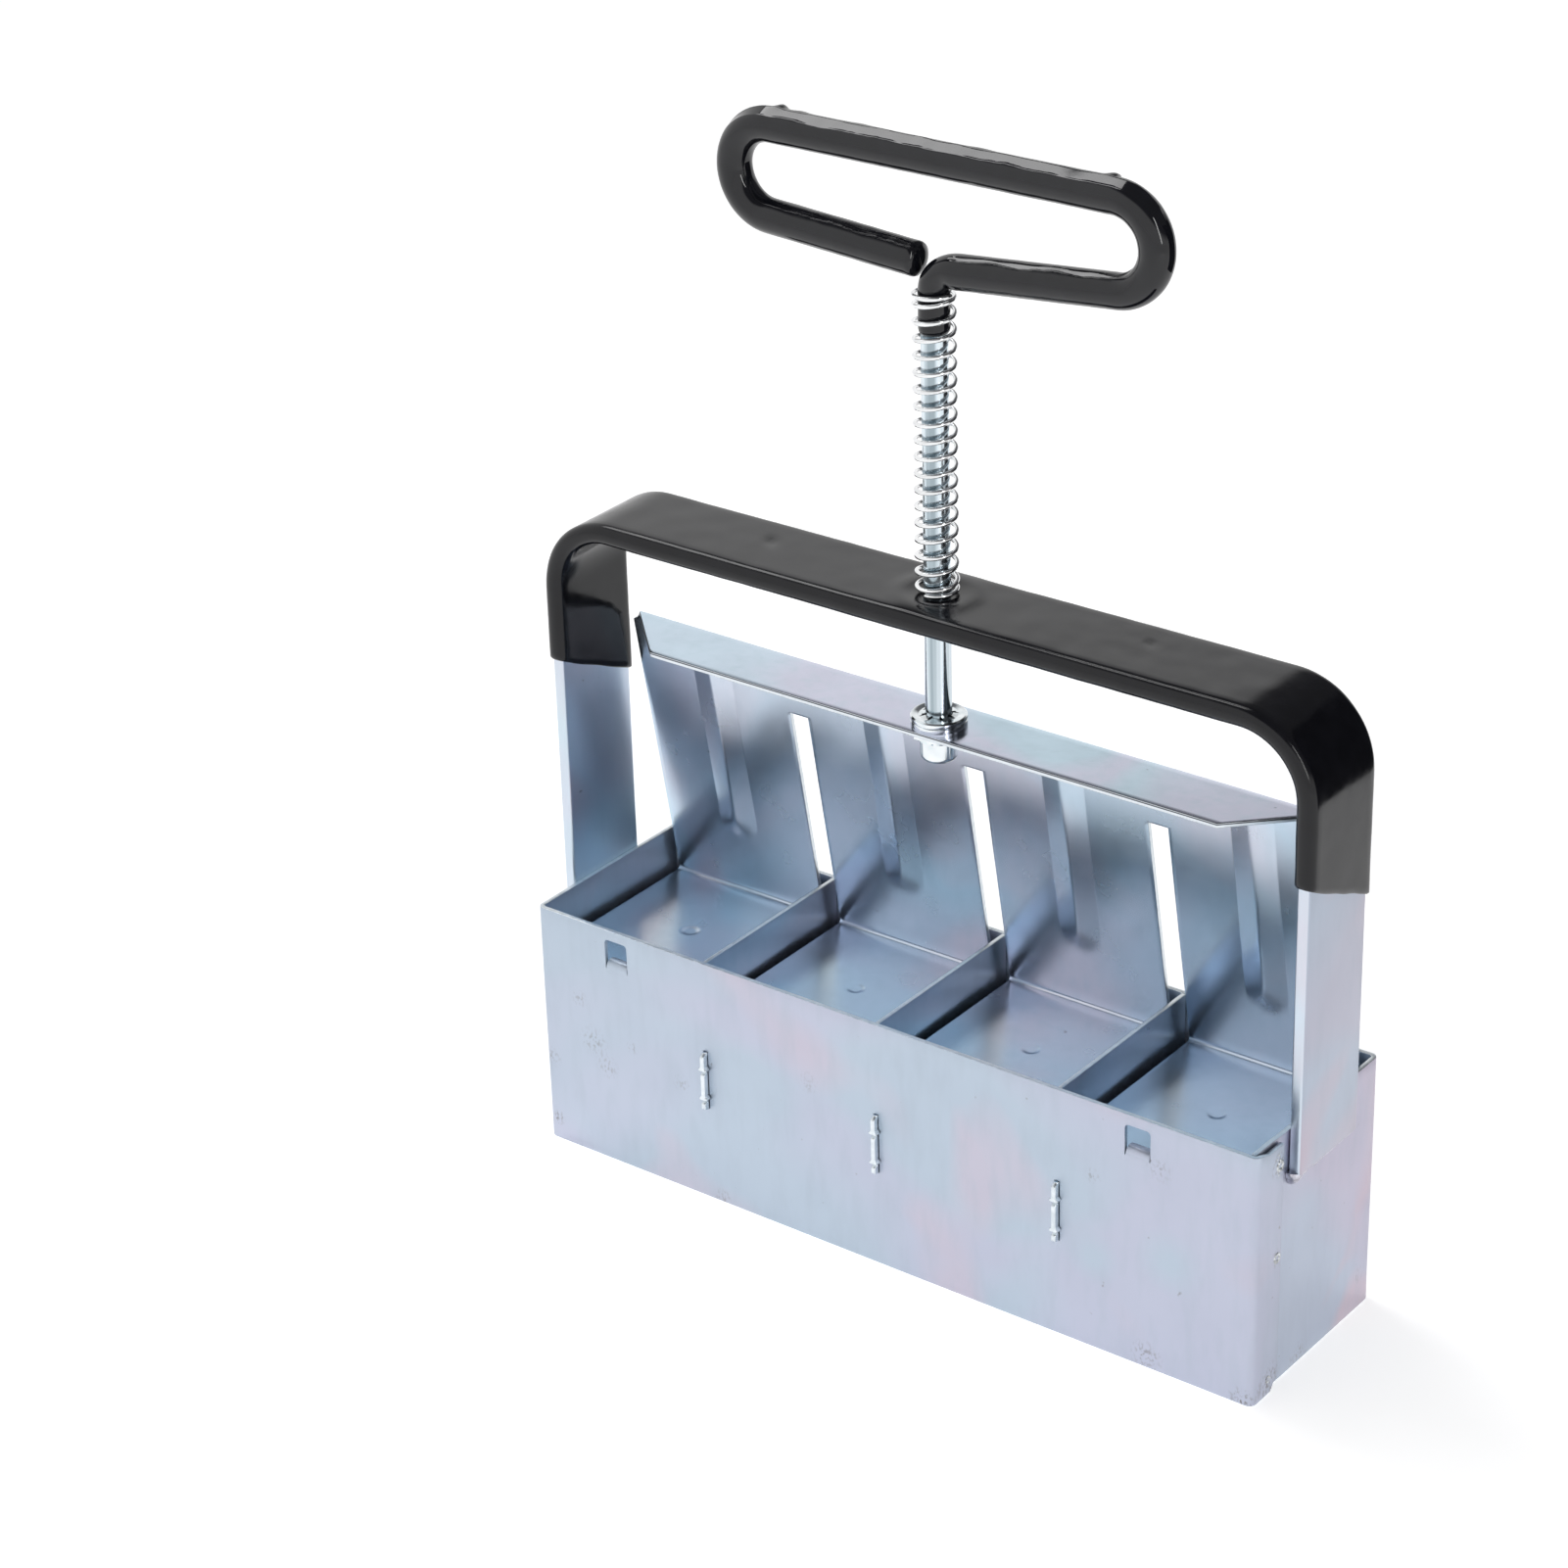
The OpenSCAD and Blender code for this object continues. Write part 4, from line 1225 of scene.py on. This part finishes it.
# %% Lumpy coating on the loop
grip_t = 1.25                                 # skin on the loop
thin_t = 0.5                                  # skin on the rod below the elbow
thin_run = 9.0                                # how far that thin skin runs down the rod
cap_t = 1.3                                   # skin over the loop's free end


grip_path = rod_path(elbow_z - thin_run, left_run + cap_t, 0.6, 3)
grip_length = grip_path[-1][3]
elbow_start = thin_run
elbow_done = thin_run + math.radians(90 - right_rise) * elbow_r
top_start = elbow_done + (low_right[0] - elbow_x) / cos(right_rise) + math.radians(180 - right_rise) * right_r
top_end = top_start + right_x - left_x
# Lumps along the loop's top bar, as (x, height, width).
bumps = [(46.2, 0.75, 1.8), (-42.7, 0.95, 1.5), (-37.0, 0.3, 2.2), (-20.0, 0.18, 3.0), (12.0, 0.2, 3.5)]
body_r = rod_r + 0.95                         # the skin away from its thick upper side
flat_top = 3.86                               # height of the flat, thick band over the rod's middle
crest_r = rod_r + 1.29                        # the band's two raised borders
band_lean = 25                                # the way the band faces, in degrees forward of up


def grip_radius(walked, a, b, heading, turn):
    """Radius of the coated rod. Thick skin ran to the upper side and set as a flat band there."""
    base = rod_r + thin_t + (0.2 * smooth(walked, elbow_start, elbow_start + 3))
    base += (body_r - rod_r - thin_t - 0.2) * smooth(walked, elbow_done - 2.5, elbow_done + 1.5)
    base = rod_r + 0.05 + (base - rod_r - 0.05) * smooth(walked, 0, 0.8)
    lean = math.degrees(math.atan2(-math.sin(turn), math.cos(turn) * cos(heading)))
    where = Vector((a * 0.1, b * 0.1, turn * 0.8))
    thick = smooth(walked, elbow_done - 1, elbow_done + 3)
    base += thick * (0.04 * noise.noise(where) + 0.03 * noise.noise(where * 3.1 + Vector((5, 5, 5))))
    slow, quick = Vector((walked * 0.12, 1, 2)), Vector((walked * 0.42, 4, 0))
    on_top = smooth(b, loop_top - 12, loop_top - 4)
    front = 32 + 8 * on_top + 10 * noise.noise(slow) + 5 * noise.noise(quick)
    back = 14 - 13 * on_top + 10 * noise.noise(slow + Vector((0, 7, 3)))
    off = min(38, abs(lean - band_lean - 1.5 * noise.noise(slow + Vector((9, 0, 0)))))
    band = min(crest_r, (flat_top + 0.05 * noise.noise(quick * 0.6)) / cos(off))
    on_band = thick * smooth(abs(cos(heading)), 0.2, 0.75)
    on_band = on_band * smooth(lean, back - 5, back) * smooth(lean, front + 5, front)
    r = base + (band - base) * on_band
    if top_start < walked < top_end:
        for x, height, width in bumps:
            r += height * math.exp(-((a - x) / width) ** 2 - ((lean + 34) / 24) ** 2)
        if abs(lean) < 60:
            r = min(r, (crest_r + 0.005) / cos(lean))
    return r


cap_round = 1.5
sides = 144
grip_rings = []
for a, b, h, walked in grip_path:
    left = grip_length - walked
    shrink = 0.0
    if left < cap_round:
        shrink = cap_round - math.sqrt(max(0.0, cap_round ** 2 - (cap_round - left) ** 2))
    grip_rings.append(ring_on_rod(a, b, h, lambda turn: grip_radius(walked, a, b, h, turn) - shrink, sides))
a, b, h, walked = grip_path[-1]
for share, bulge in ((0.66, 0.18), (0.33, 0.3)):
    r = (rod_r + grip_t - cap_round) * share
    ahead = (a + bulge * cos(h), b + bulge * sin(h))
    grip_rings.append(ring_on_rod(ahead[0], ahead[1], h, r, sides))
core_path = rod_path(elbow_z - thin_run, left_run + 0.02, 4, 7)
core_rings = [ring_on_rod(a, b, h, rod_r + 0.02, sides) for a, b, h, s in core_path]
rings = core_rings[::-1] + grip_rings
points, faces = tube(rings)
grip = loose_solid("loop_coating", points, faces, handle_vinyl)
tidy_normals(grip)
settle(grip, "plunger", "dipped_coating", "handle_coating", 60)
print("loop coating faces:", len(grip.data.polygons))

# %% [markdown]
# ## Return spring
# The spring stands on the bar and pushes up under the handle. It is a right-handed coil with a
# closed turn at each end. A helix is followed by a loop of short steps, and the wire's round
# section is set square to its direction.

# %% Coil
spring_low, spring_high = span("return_spring", "z")
coil_out = 5.25                               # outside radius of the coil
wire_r = 0.575
coil_r = coil_out - wire_r
turns = 19.25                                 # with one closed turn at each end
closed_pitch = 2 * wire_r + 0.06
steps_per_turn = 48


def wire_height(t):
    """Height of the wire's middle after t turns from the foot."""
    live = turns - 2
    rise = (spring_high - spring_low - 2 * wire_r - 2 * closed_pitch) / live
    low = min(t, 1)
    middle = min(max(t - 1, 0), live)
    high = max(t - 1 - live, 0)
    return spring_low + wire_r + (low + high) * closed_pitch + middle * rise


def wire_ring(t, radius, sides=14):
    """Round section of the wire, square to its run."""
    turn = math.radians(-91 + 360 * t)
    out = Vector((math.cos(turn), math.sin(turn), 0))
    ahead = Vector((-math.sin(turn), math.cos(turn), 0.0))
    ahead.z = (wire_height(t + 0.01) - wire_height(t - 0.01)) / (0.02 * 2 * math.pi * coil_r)
    up = ahead.normalized().cross(out) * -1
    middle = out * coil_r + Vector((0, 0, wire_height(t)))
    ring = []
    for k in range(sides):
        a = 2 * math.pi * k / sides
        ring.append(tuple(middle + radius * (out * math.cos(a) + up * math.sin(a))))
    return ring


count = round(turns * steps_per_turn)
rings = [wire_ring(0.0, wire_r - 0.12)]
rings += [wire_ring(turns * k / count, wire_r) for k in range(1, count)]
rings += [wire_ring(turns, wire_r - 0.12)]
points, faces = tube(rings)
coil = loose_solid("return_coil", points, faces, spring_wire)
tidy_normals(coil)
settle(coil, "frame", "spring_wire", "return_spring", 40)
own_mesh(coil)

# %% [markdown]
# ## Fasteners on the flange
# A flat washer and a push-on ring with inner teeth sit on the flange, and a nut with a closed
# cap holds the rod from below. Round parts are turned from a profile. The hexagon is turned
# too, with a radius that follows its flats and is capped by the chamfer.

# %% Turned parts
def turned(name, profile, body, slot, node, material, sides=72, shape_r=None, sharp=35):
    """A closed ring of (radius, height) points turned round the rod's axis."""
    rings = []
    for k in range(sides):
        turn = 2 * math.pi * k / sides
        ring = []
        for r, z in profile:
            rr = shape_r(r, z, turn) if shape_r else r
            ring.append((rr * math.cos(turn), rr * math.sin(turn), z))
        rings.append(ring)
    piece = loose_solid(name, flat(rings), skin(rings, close=True), material)
    tidy_normals(piece)
    return settle(piece, body, slot, node, sharp)


washer_r = span("flat_washer", "x")[1]
washer_low, washer_high = span("flat_washer", "z")
ring_low, ring_high = span("toothed_ring", "z")
hole = rod_r + 0.15
soft = 0.22                                   # how far the washers' edges are rounded
washer_profile = [(hole, washer_low), (washer_r - 0.05, washer_low), (washer_r, washer_low + soft),
                  (washer_r, washer_high - soft), (washer_r - soft, washer_high), (hole, washer_high)]
turned("plain_washer", washer_profile, "plunger", "fastener_metal", "flat_washer", fastener_metal)

teeth = 8
ring_in = 4.05                                # inner radius of the ring between its teeth


def tooth_edge(r, z, turn):
    """Draws the inner edge in to the rod where there is a tooth."""
    if r > ring_in + 0.3:
        return r
    phase = (turn * teeth / (2 * math.pi)) % 1.0
    return rod_r + 0.1 if 0.16 < phase < 0.84 else ring_in


ring_profile = [(ring_in, ring_low), (washer_r - 0.1, ring_low), (washer_r, ring_low + soft),
                (washer_r, ring_high - 0.35), (washer_r - 0.35, ring_high), (washer_r - 1.4, ring_high),
                (washer_r - 1.8, ring_high - 0.25), (ring_in + 0.5, ring_high - 0.25),
                (ring_in, ring_high - 0.1)]
turned("push_on_ring", ring_profile, "plunger", "fastener_metal", "toothed_ring", fastener_metal,
       144, tooth_edge)
print("washers:", round(washer_low, 2), round(ring_high, 2))

# %% [markdown]
# The nut under the flange has a closed, rounded cap. A six-sided prism could be joined to a
# dome, but one turned profile whose radius is limited to the six flats gives the chamfered
# corners of a real nut at once.

# %% Cap nut
cap_low = span("cap_nut", "z")[0]
nut_high = span("cap_nut", "z")[1]
nut_low = nut_high - 2.2                      # underside of the hexagon
flat_half = 11.1 / 2                          # half the width across the flats
cap_r = 4.5                                   # radius of the round cap below the hexagon


def hexagon(r, z, turn):
    """Limits the radius to the hexagon's flats where the profile asks for more."""
    if z < nut_low - 0.01 or r < cap_r + 0.2:
        return r
    off = (turn + math.pi / 6) % (math.pi / 3) - math.pi / 6
    return min(r, flat_half / math.cos(off))


def hexagon_turned(r, z, turn):
    return hexagon(r, z, turn + math.pi / 6)


corner_out = flat_half / math.cos(math.pi / 6)
cap_curve = [(cap_r - 1.6 + 1.6 * sin(90 * k / 6), cap_low + 1.6 - 1.6 * cos(90 * k / 6)) for k in range(7)]
nut_profile = [(0.01, cap_low), *cap_curve, (cap_r, nut_low), (flat_half, nut_low),
               (corner_out, nut_low + 0.45), (corner_out, nut_high - 0.1), (corner_out - 0.1, nut_high),
               (rod_r + 0.02, nut_high), (rod_r + 0.02, cap_low + 1.5), (0.01, cap_low + 1.5)]
turned("capped_nut", nut_profile, "plunger", "fastener_metal", "cap_nut", fastener_metal, 144, hexagon_turned)
print("nut from", round(cap_low, 2), "to", round(nut_high, 2))

# %% [markdown]
# ## Floor
# The object stands on a plain white floor, which keeps its shadow. Stronger lamps could bring
# the floor to pure white, but they would bleach the zinc too. So the floor has a little glow of
# its own that only camera, glossy and transmission rays see: metal mirrors it, but it doesn't
# brighten matt surfaces. The patch inside the box gets no glow, because it is dark in there.

# %% Floor
def ray_share(tree, strength):
    """A strength for camera, glossy and transmission rays, and 0 for light that falls on things."""
    path = tree.nodes.new("ShaderNodeLightPath")
    total = path.outputs["Is Camera Ray"]
    for kind in ("Is Glossy Ray", "Is Transmission Ray"):
        add = tree.nodes.new("ShaderNodeMath")
        add.operation = "ADD"
        add.use_clamp = True
        tree.links.new(total, add.inputs[0])
        tree.links.new(path.outputs[kind], add.inputs[1])
        total = add.outputs["Value"]
    return product(tree, total, strength)


def floor_paint(name, glow):
    """Matt white paint, with or without the glow."""
    material, tree, shader = new_material(name)
    shader.inputs["Base Color"].default_value = (0.88, 0.88, 0.88, 1)
    shader.inputs["Roughness"].default_value = 0.9
    shader.inputs["Specular IOR Level"].default_value = 0.1
    if glow:
        shader.inputs["Emission Color"].default_value = (1, 1, 1, 1)
        tree.links.new(ray_share(tree, glow), shader.inputs["Emission Strength"])
    return material


def stage_floor():
    """A wide floor just under the bottom rim, in rings of corners from the box outward."""
    in_x, in_y, size = -box_left - 2, -box_front - 2, 12000
    corners = [(-in_x, -in_y), (in_x, -in_y), (in_x, in_y), (-in_x, in_y)]
    far = [(-size, -size), (size, -size), (size, size), (-size, size)]
    points = [(x, y, -0.2) for x, y in corners + far]
    faces = [(0, 1, 2, 3)] + [(k, k + 4, (k + 1) % 4 + 4, (k + 1) % 4) for k in range(4)]
    floor = loose_solid("floor", points, faces, floor_paint("floor_under_box", None))
    floor.data.materials.append(floor_paint("floor_white", 0.6))
    for face in floor.data.polygons:
        face.material_index = min(1, face.index)
    return floor


stage_floor()
print("floor placed")

# %% [markdown]
# ## Room and lamps
# Glossy metal and vinyl show the room around them, so the room is part of the look. It could be
# a photographed panorama, but a few plain shapes are easier to steer. The room is white up to a
# height and dim above it, which leaves the vinyl its black body. One soft lamp high on the left
# is mirrored by the handle's flat band, and a narrow one at the right draws a thin highlight. A
# dark card behind, seen only by mirror-like rays, keeps the bar's right bend black.

# %% Room light
def room_light(white_top, dim_from, dim):
    """A room that is white up to a height (the sine of its angle) and dim from another height."""
    world = bpy.data.worlds.new("room")
    bpy.context.scene.world = world
    world.use_nodes = True
    tree = world.node_tree
    place = tree.nodes.new("ShaderNodeTexCoord")
    parts = tree.nodes.new("ShaderNodeSeparateXYZ")
    tree.links.new(place.outputs["Generated"], parts.inputs["Vector"])
    height = parts.outputs["Z"]
    for axis, share in (("X", 0.35), ("Y", 0.25)):
        tilt = tree.nodes.new("ShaderNodeMath")
        tilt.operation = "MULTIPLY_ADD"
        tilt.inputs[1].default_value = share
        tree.links.new(parts.outputs[axis], tilt.inputs[0])
        tree.links.new(height, tilt.inputs[2])
        height = tilt.outputs["Value"]
    shade = levels(tree, height, 0, 1, white_top, dim_from)
    tone = ramp(tree, shade, [(0, (1, 1, 1)), (1, (dim, dim, dim * 1.05))])
    tree.links.new(tone, tree.nodes["Background"].inputs["Color"])
    return world


room_light(0.45, 0.6, 0.13)


def soft_box(name, place, aim, size, watts):
    """A rectangular studio lamp turned to a point, all in metres."""
    data = bpy.data.lights.new(name, "AREA")
    data.shape = "RECTANGLE"
    data.size, data.size_y = size
    data.energy = watts
    lamp = bpy.data.objects.new(name, data)
    lamp.location = place
    lamp.rotation_euler = (Vector(aim) - Vector(place)).to_track_quat("-Z", "Y").to_euler()
    bpy.context.scene.collection.objects.link(lamp)
    return lamp


soft_box("high_box", (-0.5, 0.11, 1.1), (0, 0, 0.27), (0.36, 0.6), 3.3)
soft_box("right_strip", (1.05, -0.45, 0.65), (0, 0, 0.12), (0.1, 0.8), 2.2)


def dark_flag(place, width, height):
    """A dark card that only mirror-like rays see."""
    middle = Vector(place)
    across = Vector((middle.y, -middle.x, 0)).normalized() * width / 2
    foot = Vector((middle.x, middle.y, 0.002))
    rise = Vector((0, 0, height))
    corners = [foot - across, foot + across, foot + across + rise, foot - across + rise]
    material, tree, shader = new_material("dark_card")
    shader.inputs["Base Color"].default_value = (0.01, 0.01, 0.012, 1)
    shader.inputs["Roughness"].default_value = 0.9
    card = loose_solid("dark_flag", [c / mm for c in corners], [(0, 1, 2, 3)], material)
    card.visible_camera = False
    card.visible_diffuse = False
    card.visible_shadow = False
    return card


dark_flag((0.29, 0.27, 0), 0.36, 0.42)

# %% [markdown]
# ## Camera
# The picture was taken from the front and right, a little above the handle, with a long lens
# from about a metre away. The place and the lens were worked out from the box's corners,
# whose real size is known. A slight roll of the camera tips the upright lines.

# %% Camera
camera_data = bpy.data.cameras.new("photo_camera")
camera = bpy.data.objects.new("photo_camera", camera_data)
bpy.context.scene.collection.objects.link(camera)
camera_place = Vector((0.5043, -0.7021, 0.5538))
camera_aim = Vector((0.0, -0.0593, 0.1436))
camera_roll = -1.763
camera.location = camera_place
turn = (camera_aim - camera_place).to_track_quat("-Z", "Y")
camera.rotation_euler = (turn.to_matrix() @ Matrix.Rotation(math.radians(camera_roll), 3, "Z")).to_euler()
camera_data.sensor_width = 36
camera_data.lens = 94.35
camera_data.clip_start = 0.02
camera_data.clip_end = 40
bpy.context.scene.camera = camera
bpy.context.scene.view_settings.view_transform = "Standard"
print("camera distance", round((camera_aim - camera_place).length, 3), "m")
